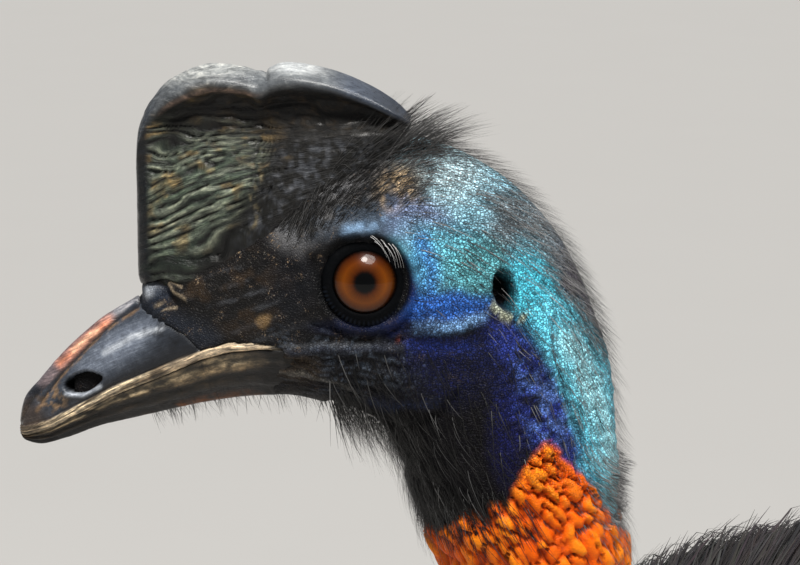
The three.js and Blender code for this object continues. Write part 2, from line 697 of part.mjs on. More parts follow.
// The neck's base: a core inside its locks, as wide as the bare neck where it meets it.
const NECK_DEPTH = 9;
function neckBaseSolid(grown = 0) {
  const surface = (t, angle, lift) =>
    neckPoint(t, angle, lift - NECK_DEPTH * clamp((t - NECK_CUTS[2]) * 14, 0, 1));
  const [from, to] = cutEnds(2);
  const start = from - (grown ? 2 * NECK_SHARE : 0);
  const end = to + (grown ? NECK_SHARE : 0);
  const core = solidOf(loft(14, 6, (t, angle) => surface(lerp(start, end, t), angle, grown)));
  return unite([core, ...coatOf(surface, NECK_ROWS, 21, grown)]);
}
addNode(bird, 'neck_base', largest(neckBaseSolid()), PLUMAGE);

// Locks of the torso start clear of the neck, the thighs and the wings.
function rootsClear(point) {
  const across = Math.abs(point.x);
  const byNeck = point.z > 930 && point.y < -215 && across < 60;
  const byThigh = point.z < 770 && Math.abs(across - 92) < 80 && Math.abs(point.y - 70 - LEG_BACK) < 100;
  const byWing = across > 120 && Math.abs(point.y + 62) < 45 && Math.abs(point.z - 920) < 50;
  return !byNeck && !byThigh && !byWing;
}
let torso = unite([torsoCore, ...coatOf(torsoPoint, TORSO_ROWS, 5, 0, rootsClear)]);
torso = torso.subtract(neckBaseSolid(GAP));
for (const [, side] of BODY_SIDES) torso = torso.subtract(thighSolid(side, GAP)).subtract(wingSolid(side, GAP));
addNode(bird, 'torso', largest(torso), PLUMAGE);

for (const [name, side] of BODY_SIDES) {
  addNode(bird, `wing_${name}`, largest(wingSolid(side)), PLUMAGE);
  addNode(bird, `thigh_${name}`, largest(thighSolid(side)), PLUMAGE);
  addNode(bird, `shank_${name}`, legLength(side, LEG_CUTS[1] + LEG_SHARE, LEG_CUTS[2] - LEG_SHARE, 12, 3), SCALES);
  const { tarsus, digits } = footSolids(side);
  addNode(bird, `tarsus_${name}`, tarsus, SCALES);
  for (const [toe, body, claw] of digits) {
    addNode(bird, `${toe}_${name}`, body, SCALES);
    addNode(bird, `${toe.replace('toe', 'claw')}_${name}`, claw, CLAW_HORN);
  }
}

// The origin goes under the middle of the whole bird, at the level its feet stand on.
const whole = new THREE.Box3().setFromObject(bird, true);
const middle = whole.getCenter(new THREE.Vector3());
bird.position.set(-middle.x, -middle.y, -whole.min.z);

export default bird;
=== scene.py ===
"""Dresses the life-size cassowary in skin, horn, eyes and plumage, and sets the studio round it."""
import math
from itertools import product

import bmesh
import bpy
import numpy as np
from bpy.props import FloatProperty, FloatVectorProperty, IntProperty, PointerProperty
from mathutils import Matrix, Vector


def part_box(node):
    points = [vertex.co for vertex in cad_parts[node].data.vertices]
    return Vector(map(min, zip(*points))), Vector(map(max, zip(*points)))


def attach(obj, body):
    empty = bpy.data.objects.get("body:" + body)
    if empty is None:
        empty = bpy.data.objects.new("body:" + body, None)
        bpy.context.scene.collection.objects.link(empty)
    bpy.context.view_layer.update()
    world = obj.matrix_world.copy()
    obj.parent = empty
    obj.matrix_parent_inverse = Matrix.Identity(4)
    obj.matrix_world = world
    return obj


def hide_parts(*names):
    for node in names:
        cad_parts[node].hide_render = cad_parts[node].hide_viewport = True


bl_info = {
    "name": "Cassowary dressing",
    "version": (1, 0, 0),
    "blender": (4, 5, 0),
    "location": "View3D > Sidebar > Cassowary",
    "description": "Makes the visible pieces of a life-size cassowary over its packed solids",
    "category": "Object",
}

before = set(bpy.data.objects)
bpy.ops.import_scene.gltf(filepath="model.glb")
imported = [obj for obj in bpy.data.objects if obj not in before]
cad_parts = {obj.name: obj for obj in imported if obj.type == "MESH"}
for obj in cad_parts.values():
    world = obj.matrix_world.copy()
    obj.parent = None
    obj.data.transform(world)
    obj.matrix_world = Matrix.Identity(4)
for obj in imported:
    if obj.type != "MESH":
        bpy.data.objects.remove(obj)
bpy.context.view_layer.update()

# Metres in a millimetre
MM = 0.001
# The head in millimetres: the eyes' middle before the bird is centred, and the eye in the head's frame
EYE_MIDDLE = np.array([-53.0, -319.0, 1300.0])
EYE_RISE = 5.0
EYE_SIDE = 16.0
EYE_RADIUS = 14.0
IRIS_RADIUS = 10.3
EYE_TILT = math.radians(8)
HEAD_TURN = math.radians(20)
THROAT = (-12.0, -55.0)
# The rings of the lids: fine folds once round, and thickness in millimetres
LID_TICKS = 58
LID_THICKNESS = 1.75
# Picture units, in which the head's markings and relief are placed
VIEW_TILT = math.radians(13)
UNITS_PER_MM = 3.03
EYE_SPOT = (366.0, 283.0)
PICTURE = (800, 565)
# Radii round the eye in picture units: the pit of the lids, their outer fold, and the black skin round them
LID_INNER = 38.0
LID_OUTER = 47.0
LID_BLACK = 56.0
# The body and legs in millimetres, and the shares of a leg at which its parts end
COAT_DEPTH = 30.0
TORSO_END = 0.93
LEG_BACK = 35.0
FOOT_APART = 106.0
FOOT_Y = 143.0
BALL_HIGH = 24.0
LEG_CUTS = (0.01, 0.352, 0.418, 1.0)
SIDES = (("left", 1), ("right", -1))
# Seeds, and numbers of hairs and strands that are drawn
HAIR_SEED = 11
PLUMAGE_SEED = 29
STUBBLE = 12000
TUFT_HAIRS = 700
JAW_BRISTLES = 420
NECK_STRANDS = 5200
THIGH_STRANDS = 4900
# The camera's film in millimetres, the distance in metres at which vertices weld, and a strand's bake patch
FILM = 36.0
WELD = 1e-7
BAKE_PATCH = 0.003


def fan(degrees, low, high, width, widest, point):
    a = math.radians(degrees)
    ends = [c + r * f for r in (low, high) for c, f in zip(THROAT, (math.cos(a), math.sin(a)))]
    return [*ends, width, widest, point]


HEAD = [
    [-114.9, -51.5, -114.9, -47.5, 1.8, 0.4, 1],
    [-113.2, -53.3, -113.2, -39.6, 3.8, 0.4, 1],
    [-107.5, -54.4, -107.5, -32.4, 5.8, 0.38, 1.05],
    [-99, -51.8, -99, -22.8, 7.8, 0.36, 1.1],
    [-87, -47.6, -87, -12.2, 10.2, 0.36, 1.15],
    [-75, -44.6, -75, -4.6, 12.8, 0.37, 1.15],
    [-61.5, -41.3, -61.5, 6, 16.2, 0.38, 1.15],
    [-45, -38, -45, 17, 20, 0.4, 1.1],
    [-26, -37, -26, 31, 23.6, 0.42, 1.1],
    fan(90, 15, 96, 26, 0.44, 1.1),
    fan(75, 15.2, 107, 27.5, 0.45, 1.05),
    fan(60, 15.5, 107.5, 28.3, 0.47, 1),
    fan(45, 16, 104, 28.5, 0.48, 1),
    fan(30, 17.5, 99, 28.6, 0.5, 1),
    fan(15, 20, 94, 29.5, 0.5, 1),
    fan(0, 21.5, 93, 30.5, 0.5, 1),
    [12.7, -62, 81.9, -62, 31, 0.5, 1],
]
MOUTH = np.array([
    (-120, -52), (-112.9, -50.7), (-104.6, -47.6), (-97.4, -43.4), (-91.4, -40.1), (-83.8, -35.6),
    (-76.9, -32.3), (-68, -28.3), (-53.5, -21.2), (-44.2, -18.2), (-35, -16.9), (-24.8, -17),
])
# X, foot height, top height, half widths at the foot, waist and rim
CASQUE = [
    [-76.5, 2, 46, 2.5, 2, 1.8], [-75.3, 0, 56, 6, 4.6, 4], [
        -71, -1, 63.5, 9, 6.4, 6.2
    ], [-62, 3, 69, 12, 7.6, 8.2],
    [-51, 9, 73, 14.5, 8.4, 9.4], [-40, 15, 72, 16.5, 9, 10.2], [-34, 20, 70.4, 17.5, 9.6, 10.8],
    [
        -26, 26, 73, 18.5, 10.4, 12.2
    ], [-12, 34, 70.5, 19, 12, 14], [0, 42, 65, 18, 13, 14], [9, 47, 59, 14, 12, 12],
    [14, 49, 54.5, 6, 6, 6],
]
CASQUE_SHAPE = [
    [0, 1, 0, 0], [0.3, 0.7, 0.3, 0], [0.62, 0, 1, 0], [0.84, 0, 0.3, 0.72], [0.93, 0, 0, 1],
    [1, 0, 0, 0.45]
]
WATTLE = [[1, 3], [2, 7], [-2, 9.5], [-5, 11], [-7, 11.5], [-6, 9], [-3, 3]]
TORSO = [
    [-304, 930, 26, 22, 30], [-294, 929, 62, 56, 72], [-258, 926, 106, 96, 120], [-190, 914, 142, 130, 150],
    [-95, 899, 174, 163, 172], [0, 886, 196, 186, 184], [110, 875, 208, 205, 188], [
        220, 868, 205, 203, 198
    ],
    [320, 850, 184, 178, 208], [400, 814, 146, 132, 216], [455, 763, 96, 80, 200], [482, 712, 46, 46, 130],
]
LEG = [
    [88, 70, 810, 78, 96], [92, 62, 725, 72, 92], [97, 84, 625, 58, 72], [100, 124, 525, 42, 50],
    [102, 158, 435, 27, 32], [103, 182, 370, 25, 29], [104, 188, 330, 25, 29], [104, 180, 285, 19, 23],
    [105, 158, 200, 17, 21], [106, 138, 115, 18, 22], [106, 122, 60, 23, 26], [106, 112, 28, 28, 30],
]
# Name, aim in degrees, length, size, claw length, plates
TOES = [("middle", 0, 165, 17.5, 48, 13), ("outer", 34, 118, 15, 42, 9), ("inner", -27, 84, 16, 105, 6)]


# Curves and surfaces
def track(rows):
    """A smooth curve through rows of numbers, read at u from 0 to 1."""
    rows = np.array(rows, float)
    last = len(rows) - 1

    def read(u):
        at = np.clip(u, 0, 1) * last
        i = np.minimum(np.floor(at).astype(int), last - 1)
        f = (at - i)[..., None]
        a, b, c, d = rows[np.maximum(i - 1, 0)], rows[i], rows[i + 1], rows[np.minimum(i + 2, last)]
        return 0.5 * (
            2 * b + (c - a) * f + (2 * a - 5 * b + 4 * c - d) * f**2 + (3 * b - a - 3 * c + d) * f**3
        )

    return read


HEAD_TRACK, CASQUE_TRACK, SHAPE_TRACK, TORSO_TRACK = track(HEAD), track(CASQUE), track(
    CASQUE_SHAPE
), track(TORSO)
split = lambda rows: np.moveaxis(rows, -1, 0)
unit = lambda v: v / np.maximum(np.linalg.norm(v, axis=-1, keepdims=True), 1e-9)
clamp01 = lambda v: np.clip(v, 0, 1)


def once_round(count):
    return np.arange(count) / count * 2 * math.pi


def grid(rows, columns):
    return np.meshgrid(rows, columns, indexing="ij")


def smooth(v):
    v = clamp01(v)
    return v * v * (3 - 2 * v)


def to_bird(p):
    """From the head's own frame to the bird's."""
    c, s = math.cos(HEAD_TURN), math.sin(HEAD_TURN)
    x, y, z = split(p)
    return np.stack([c * x - s * y, s * x + c * y, z], -1) + EYE_MIDDLE


def to_head(p):
    c, s = math.cos(HEAD_TURN), math.sin(HEAD_TURN)
    x, y, z = split(p - EYE_MIDDLE)
    return np.stack([c * x + s * y, c * y - s * x, z], -1)


def middle_of(name):
    low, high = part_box(name)
    return (np.array(low) + np.array(high)) * 500


SHIFT = (middle_of("eye_left") + middle_of("eye_right")) / 2 - EYE_MIDDLE - np.array([0, 0, EYE_RISE])
to_room = lambda p: (np.asarray(p) + SHIFT) * MM


def head_point(t, angle, grown=0.0):
    low_x, low_z, high_x, high_z, width, widest, point = split(HEAD_TRACK(t))
    share = (0.5 - 0.5 * np.cos(angle)) ** (np.log(widest) / math.log(0.5))
    side = np.sin(angle)
    long = np.hypot(high_x - low_x, high_z - low_z)
    up = -grown / long + (1 + 2 * grown / long) * share
    wide = (width + grown) * np.sign(side) * np.abs(side) ** point
    return np.stack([low_x + (high_x - low_x) * up, wide, low_z + (high_z - low_z) * up], -1)


def neck_rows():
    near = [
        (47.3, -62, 20, 34.6, 31), (50, -72, 20, 32.6, 31.2), (54, -84, 24, 30.4, 31),
        (57, -97, 30, 29.2, 30.4)
    ]
    rows = [[*to_bird(np.array([x, 0.0, z])), turn, deep, wide] for x, z, turn, deep, wide in near]
    return rows + [
        [0, -302, 1165, 50, 28.6, 30], [0, -308, 1128, 70, 29.5, 31.5], [0, -308, 1090, 85, 32, 35],
        [0, -300, 1052, 90, 38, 42], [
            0, -284, 1015, 90, 47, 52
        ], [0, -262, 980, 90, 58, 65], [0, -236, 948, 90, 66, 76],
    ]


NECK_TRACK = track(neck_rows())


def neck_point(t, angle, grown=0.0):
    rows = NECK_TRACK(t)
    _, _, _, turn, deep, wide = split(rows)
    ahead = np.minimum(t + 0.01, 1)
    along = unit(NECK_TRACK(ahead)[..., :3] - NECK_TRACK(ahead - 0.01)[..., :3])
    bend = clamp01((np.asarray(t) - 0.02) * 4)[..., None]
    down = unit(np.array([0, 0, -1.0]) * (1 - bend) + along * bend)
    turned = np.radians(turn)
    back = np.stack([np.cos(turned), np.sin(turned), 0 * turned], -1)
    back = unit(back - down * np.sum(back * down, -1, keepdims=True))
    across = np.cross(down, back)
    return (
        rows[..., :3] - back * ((deep + grown) * np.cos(angle))[..., None]
        - across * ((wide + grown) * np.sin(angle))[..., None]
    )


def skin_point(s, angle, grown=0.0):
    """The head for s up to 1, then the neck to 2, in the head's frame."""
    s, angle, grown = np.broadcast_arrays(s, angle, grown)
    head = head_point(np.minimum(s, 1.0), angle, grown)
    square = smooth((s - 0.3) / 0.06) * smooth((0.67 - s) / 0.08) * smooth(-1.4 * np.cos(angle))
    head[..., 1] *= np.maximum(np.abs(np.sin(angle)), 0.02) ** (-0.62 * square)
    neck = to_head(neck_point(np.clip(s - 1, 0, 1), angle, grown))
    return np.where((s <= 1)[..., None], head, neck)


def casque_point(t, angle):
    x, foot, top, low, waist, rim = split(CASQUE_TRACK(t))
    height, a, b, c = split(SHAPE_TRACK(0.5 - 0.5 * np.cos(angle)))
    side = np.sin(angle)
    height = clamp01(height)
    wide = (a * low + b * waist + c * rim) * np.sign(side) * np.minimum(1, np.abs(side) * 2.2)
    return np.stack([x, wide, foot + (top - foot) * height], -1), height


def torso_point(t, angle, lift=0.0):
    y, z, wide, up, down = split(TORSO_TRACK(np.minimum(t, TORSO_END)))
    past = np.maximum(t - TORSO_END, 0) * 1000
    cos, sin = -np.cos(angle), np.sin(angle)
    ridge = np.where(cos > 0, np.abs(sin) ** 1.25 * np.sign(sin), sin)
    shrink = lift - COAT_DEPTH
    high = z + cos * (np.where(cos > 0, up, down) + shrink) - past
    return np.stack([(wide + shrink) * ridge * (1 - past / 700), y + past * 0.3, high], -1)


def leg_track(side):
    return track([[side * x, *rest] for x, *rest in LEG])


def leg_point(line, t, angle, grown=0.0):
    x, y, z, wide, deep = split(line(t))
    along = unit(line(np.minimum(t + 0.01, 1))[..., :3] - line(np.maximum(t - 0.01, 0))[..., :3])
    back = np.array([0, 1.0, 0]) - along * along[..., 1:2]
    back = unit(back)
    across = np.cross(along, back)
    place = np.stack([x, y + LEG_BACK, z], -1)
    return (
        place - back * ((deep + grown) * np.cos(angle))[..., None]
        - across * ((wide + grown) * np.sin(angle))[..., None]
    )


def profile(p):
    """Where a head point lies in the side view, in picture units, alike on both sides."""
    x, y, z = split(p)
    high = math.cos(VIEW_TILT) * z - math.sin(VIEW_TILT) * np.abs(y)
    return EYE_SPOT[0] + UNITS_PER_MM * x, EYE_SPOT[1] - UNITS_PER_MM * high


def on_side(px, py, wide, side):
    """The head point seen at a place of the side view, on a surface that is wide from the middle."""
    high = (EYE_SPOT[1] - py) / UNITS_PER_MM
    z = (high + math.sin(VIEW_TILT) * wide) / math.cos(VIEW_TILT)
    return np.array([(px - EYE_SPOT[0]) / UNITS_PER_MM, side * wide, z])


# Noise, cells and brushes for markings and relief
def scatter(i, j, k, seed):
    n = (i * 374761393 + j * 668265263 + k * 2654435761 + seed * 974634777) & 0xFFFFFFFF
    n = ((n ^ (n >> 13)) * 1274126177) & 0xFFFFFFFF
    return ((n ^ (n >> 16)) & 0xFFFFFF) / 0xFFFFFF


def cloud(p, size, seed=0):
    q = p / size
    b = np.floor(q).astype(np.int64)
    f = smooth(q - b)
    total = 0
    for corner in product((0, 1), repeat=3):
        weight = 1
        for axis, on in enumerate(corner):
            weight = weight * (f[..., axis] if on else 1 - f[..., axis])
        total = total + weight * scatter(*(b[..., axis] + on for axis, on in enumerate(corner)), seed)
    return total


def clouds(p, size, seed=0):
    return (
        4 * cloud(p, size, seed) + 2 * cloud(p, size / 2.1, seed + 1) + cloud(p, size / 4.3, seed + 2)
    ) / 7


def fleck(p, size, seed, low, gain):
    """Soft-edged flecks where noise of a size is above a level."""
    return smooth((clouds(p, size, seed) - low) * gain)


def pebbles(p, size, seed=0):
    """Distances to the nearest and second nearest of scattered spots, and the nearest's own draw."""
    q = p / size
    b = np.floor(q).astype(np.int64)
    first = np.full(q.shape[:-1], 9.0)
    second, own = first.copy(), first.copy()
    for shift in product((-1, 0, 1), repeat=3):
        c = [b[..., axis] + shift[axis] for axis in range(3)]
        spot = np.stack([c[axis] + scatter(*c, seed + axis) for axis in range(3)], -1)
        d = np.linalg.norm(q - spot, axis=-1)
        near = d < first
        second = np.where(near, first, np.minimum(second, d))
        own = np.where(near, scatter(*c, seed + 3), own)
        first = np.minimum(first, d)
    return first, second, own


def stroke(px, py, path, wide, soft=None):
    """How much a soft stroke along a path covers each place."""
    soft = wide if soft is None else soft
    nearest = np.full(np.shape(px), 1e9)
    for (ax, ay), (bx, by) in zip(path, path[1:]):
        dx, dy = bx - ax, by - ay
        f = clamp01(((px - ax) * dx + (py - ay) * dy) / (dx * dx + dy * dy))
        nearest = np.minimum(nearest, np.hypot(px - ax - f * dx, py - ay - f * dy))
    return smooth((wide + soft - nearest) / (2 * soft))


def patch(px, py, x, y, rx, ry, tilt=0.0, soft=0.35):
    c, s = math.cos(math.radians(tilt)), math.sin(math.radians(tilt))
    u, v = (px - x) * c + (py - y) * s, (py - y) * c - (px - x) * s
    return smooth((1 + soft - np.hypot(u / rx, v / ry)) / (2 * soft))


def tint(r, g, b):
    """A picture colour as the linear one that shaders use."""
    c = np.array([r, g, b]) / 255
    return np.where(c <= 0.04045, c / 12.92, ((c + 0.055) / 1.055) ** 2.4)


def lay(colours, colour, cover):
    colour = tint(*colour) if max(colour) > 1 else np.array(colour)
    colours += (colour - colours) * clamp01(cover)[..., None]


class Paint:
    """Lays colours on a surface with brushes that read its place in the side view."""

    def __init__(self, colours, x, y):
        self.colours, self.x, self.y = colours, x, y

    def line(self, colour, path, wide, soft, share=1.0):
        lay(self.colours, colour, stroke(self.x, self.y, path, wide, soft) * share)

    def spot(self, colour, *place, share=1.0):
        lay(self.colours, colour, patch(self.x, self.y, *place) * share)


# Meshes
def grid_normals(points):
    along = np.gradient(points, axis=0)
    around = np.roll(points, -1, 1) - np.roll(points, 1, 1)
    n = unit(np.cross(around, along))
    out = points - points.mean(1, keepdims=True)
    return n if np.sum(n * out) > 0 else -n


def woven(name, points, closed, **attributes):
    """A bmesh grid on rings of points, welded at its seams. Closed welds its last ring to its first too."""
    rings, around = points.shape[:2]
    rows = rings if closed else rings - 1
    mesh = bpy.data.meshes.new(name)
    bm = bmesh.new()
    if not closed:
        bm.loops.layers.uv.new("UVMap")
    bmesh.ops.create_grid(bm, x_segments=around, y_segments=rows, size=0.5, calc_uvs=not closed)
    bm.to_mesh(mesh)
    bm.free()
    flat = np.empty(len(mesh.vertices) * 3)
    mesh.vertices.foreach_get("co", flat)
    flat = flat.reshape(-1, 3)
    i = np.rint((flat[:, 0] + 0.5) * around).astype(int) % around
    j = np.rint((flat[:, 1] + 0.5) * rows).astype(int) % rings
    mesh.vertices.foreach_set("co", points[j, i].ravel())
    for key, values in attributes.items():
        store(mesh, key, values[j, i])
    bm = bmesh.new()
    bm.from_mesh(mesh)
    bmesh.ops.remove_doubles(bm, verts=bm.verts, dist=WELD)
    bmesh.ops.recalc_face_normals(bm, faces=bm.faces)
    bm.to_mesh(mesh)
    bm.free()
    return mesh


def store(mesh, key, values):
    """Keeps a number or a colour for each vertex."""
    if values.ndim == 2:
        layer = mesh.attributes.new(key, "FLOAT_COLOR", "POINT")
        layer.data.foreach_set("color", np.c_[values, np.ones(len(values))].ravel())
    else:
        layer = mesh.attributes.new(key, "FLOAT", "POINT")
        layer.data.foreach_set("value", values)


def shell(name, points, **attributes):
    """A closed tube through rings of points, with both ends drawn to their middles."""
    around = points.shape[1]
    ends = [np.repeat(points[i].mean(0)[None, None], around, 1) for i in (0, -1)]
    padded = {key: np.concatenate([v[:1], v, v[-1:]]) for key, v in attributes.items()}
    return woven(name, np.concatenate([ends[0], points, ends[1]]), False, **padded)


def dress(name, mesh, finish, replaced=()):
    """Makes a mesh a piece of the bird that rides on its body."""
    mesh.shade_smooth()
    mesh.materials.append(finish)
    obj = bpy.data.objects.new(name, mesh)
    bpy.context.scene.collection.objects.link(obj)
    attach(obj, "root")
    if replaced:
        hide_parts(*replaced)


def piece(name, meshes, finish, replaced=()):
    """Joins closed meshes into one piece."""
    bm = bmesh.new()
    for mesh in meshes:
        bm.from_mesh(mesh)
    made = bpy.data.meshes.new(name)
    bm.to_mesh(made)
    bm.free()
    dress(name, made, finish, replaced)


def strands(name, paths, facing, wide, roots, shade, finish, ridge=0.35):
    """Thin tapered blades along paths in one mesh, each with its own small patch on the map OFBake."""
    count, stations = paths.shape[:2]
    forward = np.gradient(paths, axis=1)
    across = unit(np.cross(facing, forward))
    up = unit(np.cross(forward, across)) * ridge
    half = wide[..., None]
    verts = np.stack([paths - across * half, paths + up * half, paths + across * half], 2)
    base = (np.arange(count) * stations * 3)[:, None, None] + (np.arange(stations - 1) * 3)[None, :, None]
    quads = np.stack([base + n + np.array([0, 3, 4, 1]) for n in (0, 1)], 2).reshape(-1, 4)
    mesh = bpy.data.meshes.new(name)
    mesh.vertices.add(count * stations * 3)
    mesh.vertices.foreach_set("co", verts.ravel())
    mesh.loops.add(quads.size)
    mesh.loops.foreach_set("vertex_index", quads.ravel())
    mesh.polygons.add(len(quads))
    mesh.polygons.foreach_set("loop_start", np.arange(len(quads)) * 4)
    mesh.update()
    s = np.linspace(0, 1, stations)
    side = np.array([-1, 0, 1])
    local = np.stack(np.broadcast_arrays(side[None, :], s[:, None] * 2 - 1), -1) * BAKE_PATCH / 2
    uv = (roots[:, None, None] + local[None]).reshape(-1, 2)
    layer = mesh.uv_layers.new(name="OFBake")
    layer.data.foreach_set("uv", uv[quads.ravel()].ravel())
    if shade.ndim == 1:
        shade = np.repeat(shade[:, None], 3, 1)
    store(mesh, "Markings", np.repeat(shade, stations * 3, 0))
    store(mesh, "Reach", np.tile(np.repeat(s, 3), count))
    dress(name, mesh, finish)


# Finishes
def new_finish(name, **constants):
    material = bpy.data.materials.new(name)
    material.use_nodes = True
    tree = material.node_tree
    shader = tree.nodes["Principled BSDF"]
    for key, value in constants.items():
        shader.inputs[key.replace("_", " ")].default_value = value

    def add(kind, inputs=None, **settings):
        node = tree.nodes.new("ShaderNode" + kind)
        for key, value in settings.items():
            setattr(node, key, value)
        for key, value in (inputs or {}).items():
            if isinstance(value, bpy.types.NodeSocket):
                tree.links.new(value, node.inputs[key])
            else:
                node.inputs[key].default_value = value
        return node

    def mix(factor, a, b, blend="MIX"):
        node = add("Mix", data_type="RGBA", blend_type=blend)
        for index, value in ((0, factor), (6, a), (7, b)):
            if isinstance(value, bpy.types.NodeSocket):
                tree.links.new(value, node.inputs[index])
            else:
                node.inputs[index].default_value = value if index == 0 else (*value[:3], 1)
        return node.outputs[2]

    def span(value, low, high, to_low=0.0, to_high=1.0):
        inputs = {"Value": value, "From Min": low, "From Max": high, "To Min": to_low, "To Max": to_high}
        return add("MapRange", inputs).outputs[0]

    def sums(operation, a, b):
        return add("Math", {0: a, 1: b}, operation=operation).outputs[0]

    def put(socket, value):
        tree.links.new(value, shader.inputs[socket])

    def bump(height, depth, under=None):
        inputs = {"Height": height, "Distance": depth, "Strength": 1.0}
        if under is not None:
            inputs["Normal"] = under
        return add("Bump", inputs).outputs[0]

    place = add("TexCoord").outputs["Object"]
    return material, add, mix, span, sums, put, bump, place


def noise(add, place, scale, detail, roughness=0.5):
    values = {"Vector": place, "Scale": scale, "Detail": detail, "Roughness": roughness}
    return add("TexNoise", values).outputs[0]


def read(add, name, output="Fac"):
    """One of the piece's own attributes."""
    return add("Attribute", attribute_name=name).outputs[output]


def skin_finish():
    """Bare granular skin: every granule is a little lighter on top by painted highlight and darker at its
    edge by painted shade, which also stands for the skin's own fine dark lines, with dust where the markings
    say.
    """
    material, add, mix, span, sums, put, bump, place = new_finish("bare skin", Specular_IOR_Level=0.13)
    marks = read(add, "Markings", "Color")
    finish = read(add, "Finish", "Color")
    parts = add("SeparateColor", {0: finish})
    grain, dust, gloss = parts.outputs
    bent = add("TexNoise", {"Vector": place, "Scale": 260.0, "Detail": 2.0}).outputs["Color"]
    swayed = add(
        "VectorMath",
        {
            0: place,
            1: add("VectorMath", {0: bent, 1: (0.0022, 0.0022, 0.0022)}, operation="MULTIPLY").outputs[0]
        }
    ).outputs[0]
    granule = add(
        "TexVoronoi", {"Vector": swayed, "Scale": 1120.0}, feature="DISTANCE_TO_EDGE"
    ).outputs["Distance"]
    hue = add("TexVoronoi", {"Vector": swayed, "Scale": 1120.0}).outputs["Color"]
    coarse = add("TexVoronoi", {"Vector": swayed, "Scale": 330.0, "Randomness": 0.9}).outputs["Distance"]
    fine = noise(add, place, 1500.0, 3.0)
    blotch = noise(add, place, 190.0, 6.0, 0.7)
    tops = span(granule, 0.02, 0.2)
    own = add("SeparateColor", {0: hue}).outputs[0]
    # painted shade at each granule's edge, partly the skin's own dark lines; many granules get a painted
    # highlight, much lighter than the markings
    dark = mix(0.74, marks, (0.01, 0.01, 0.016))
    granule_glint = mix(1.0, marks, (2.3, 2.3, 2.3), "MULTIPLY")
    light = mix(span(own, 0.3, 1.0, 0.0, 0.9), mix(span(own, 0.0, 0.35, 0.5, 0.0), marks, dark), granule_glint)
    shaded = mix(span(granule, 0.0, 0.11), dark, light)
    base = mix(grain, marks, shaded)
    base = mix(span(blotch, 0.5, 0.72, 0.0, 0.45), base, mix(0.55, base, (0.02, 0.015, 0.02)))
    speck = span(sums("MULTIPLY", span(blotch, 0.5, 0.7), span(fine, 0.45, 0.62)), 0.3, 0.75)
    base = mix(sums("MULTIPLY", speck, dust), base, tint(150, 128, 102))
    grit = noise(add, place, 2300.0, 1.0)
    sown = sums("MULTIPLY", span(grit, 0.64, 0.74), span(blotch, 0.48, 0.62))
    base = mix(sums("MULTIPLY", sown, span(dust, 0.0, 0.8, 0.0, 0.75)), base, tint(150, 142, 130))
    put("Base Color", base)
    put("Roughness", sums("ADD", span(gloss, 0.0, 1.0, 0.52, 0.2), span(fine, 0.3, 0.7, -0.08, 0.12)))
    first = bump(
        sums("MULTIPLY", span(coarse, 0.0, 0.7, 1.0, 0.0), span(grain, 0.3, 1.0, 0.06, 1.0)), 0.0005
    )
    second = bump(sums("MULTIPLY", tops, span(grain, 0.0, 1.0, 0.16, 1.0)), 0.00045, first)
    put("Normal", bump(fine, 0.00012, second))
    return material


def horn_finish(name, crack_scale, crack_depth, roughness, coat=0.0, shine=0.3):
    """Worn horn: painted markings, fine cracks, scuffs, and streaks along the attribute Flow."""
    material, add, mix, span, sums, put, bump, place = new_finish(
        name, Specular_IOR_Level=shine, Coat_Weight=coat, Coat_Roughness=0.18
    )
    marks = read(add, "Markings", "Color")
    crack = add(
        "TexVoronoi", {"Vector": place, "Scale": crack_scale}, feature="DISTANCE_TO_EDGE"
    ).outputs["Distance"]
    scuff = noise(add, place, 420.0, 7.0, 0.72)
    broad = noise(add, place, 120.0, 4.0)
    lines = span(crack, 0.0, 0.08, 1.0, 0.0)
    cracked = read(add, "Crack")
    masked = sums("MULTIPLY", sums("MULTIPLY", lines, span(broad, 0.4, 0.6, 0.2, 0.8)), cracked)
    base = mix(masked, marks, mix(0.8, marks, (0.01, 0.008, 0.006)))
    flow = read(add, "Flow", "Vector")
    amount = add("SeparateXYZ", {0: flow}).outputs[2]
    streak = add(
        "TexNoise", {"Vector": flow, "Scale": 1.0, "Detail": 4.0, "Roughness": 0.68}, noise_dimensions="2D"
    ).outputs[0]
    base = mix(
        sums("MULTIPLY", span(streak, 0.5, 0.68), amount), base,
        mix(1.0, base, (2.5, 2.4, 2.25), "MULTIPLY")
    )
    base = mix(
        sums("MULTIPLY", span(streak, 0.47, 0.33, 0.0, 0.9), amount), base,
        mix(0.85, base, (0.005, 0.005, 0.005))
    )
    base = mix(span(scuff, 0.52, 0.7, 0.0, 0.8), base, mix(1.0, base, (1.9, 1.85, 1.75), "MULTIPLY"))
    base = mix(span(scuff, 0.48, 0.32, 0.0, 0.6), base, mix(0.7, base, (0.006, 0.006, 0.007)))
    put("Base Color", base)
    gloss = read(add, "Gloss")
    put("Roughness", sums("SUBTRACT", span(scuff, 0.3, 0.7, roughness - 0.06, roughness + 0.14), gloss))
    first = bump(sums("MULTIPLY", span(crack, 0.0, 0.1), cracked), crack_depth)
    second = bump(sums("MULTIPLY", streak, amount), 0.0011, first)
    put("Normal", bump(scuff, 0.0002, second))
    return material


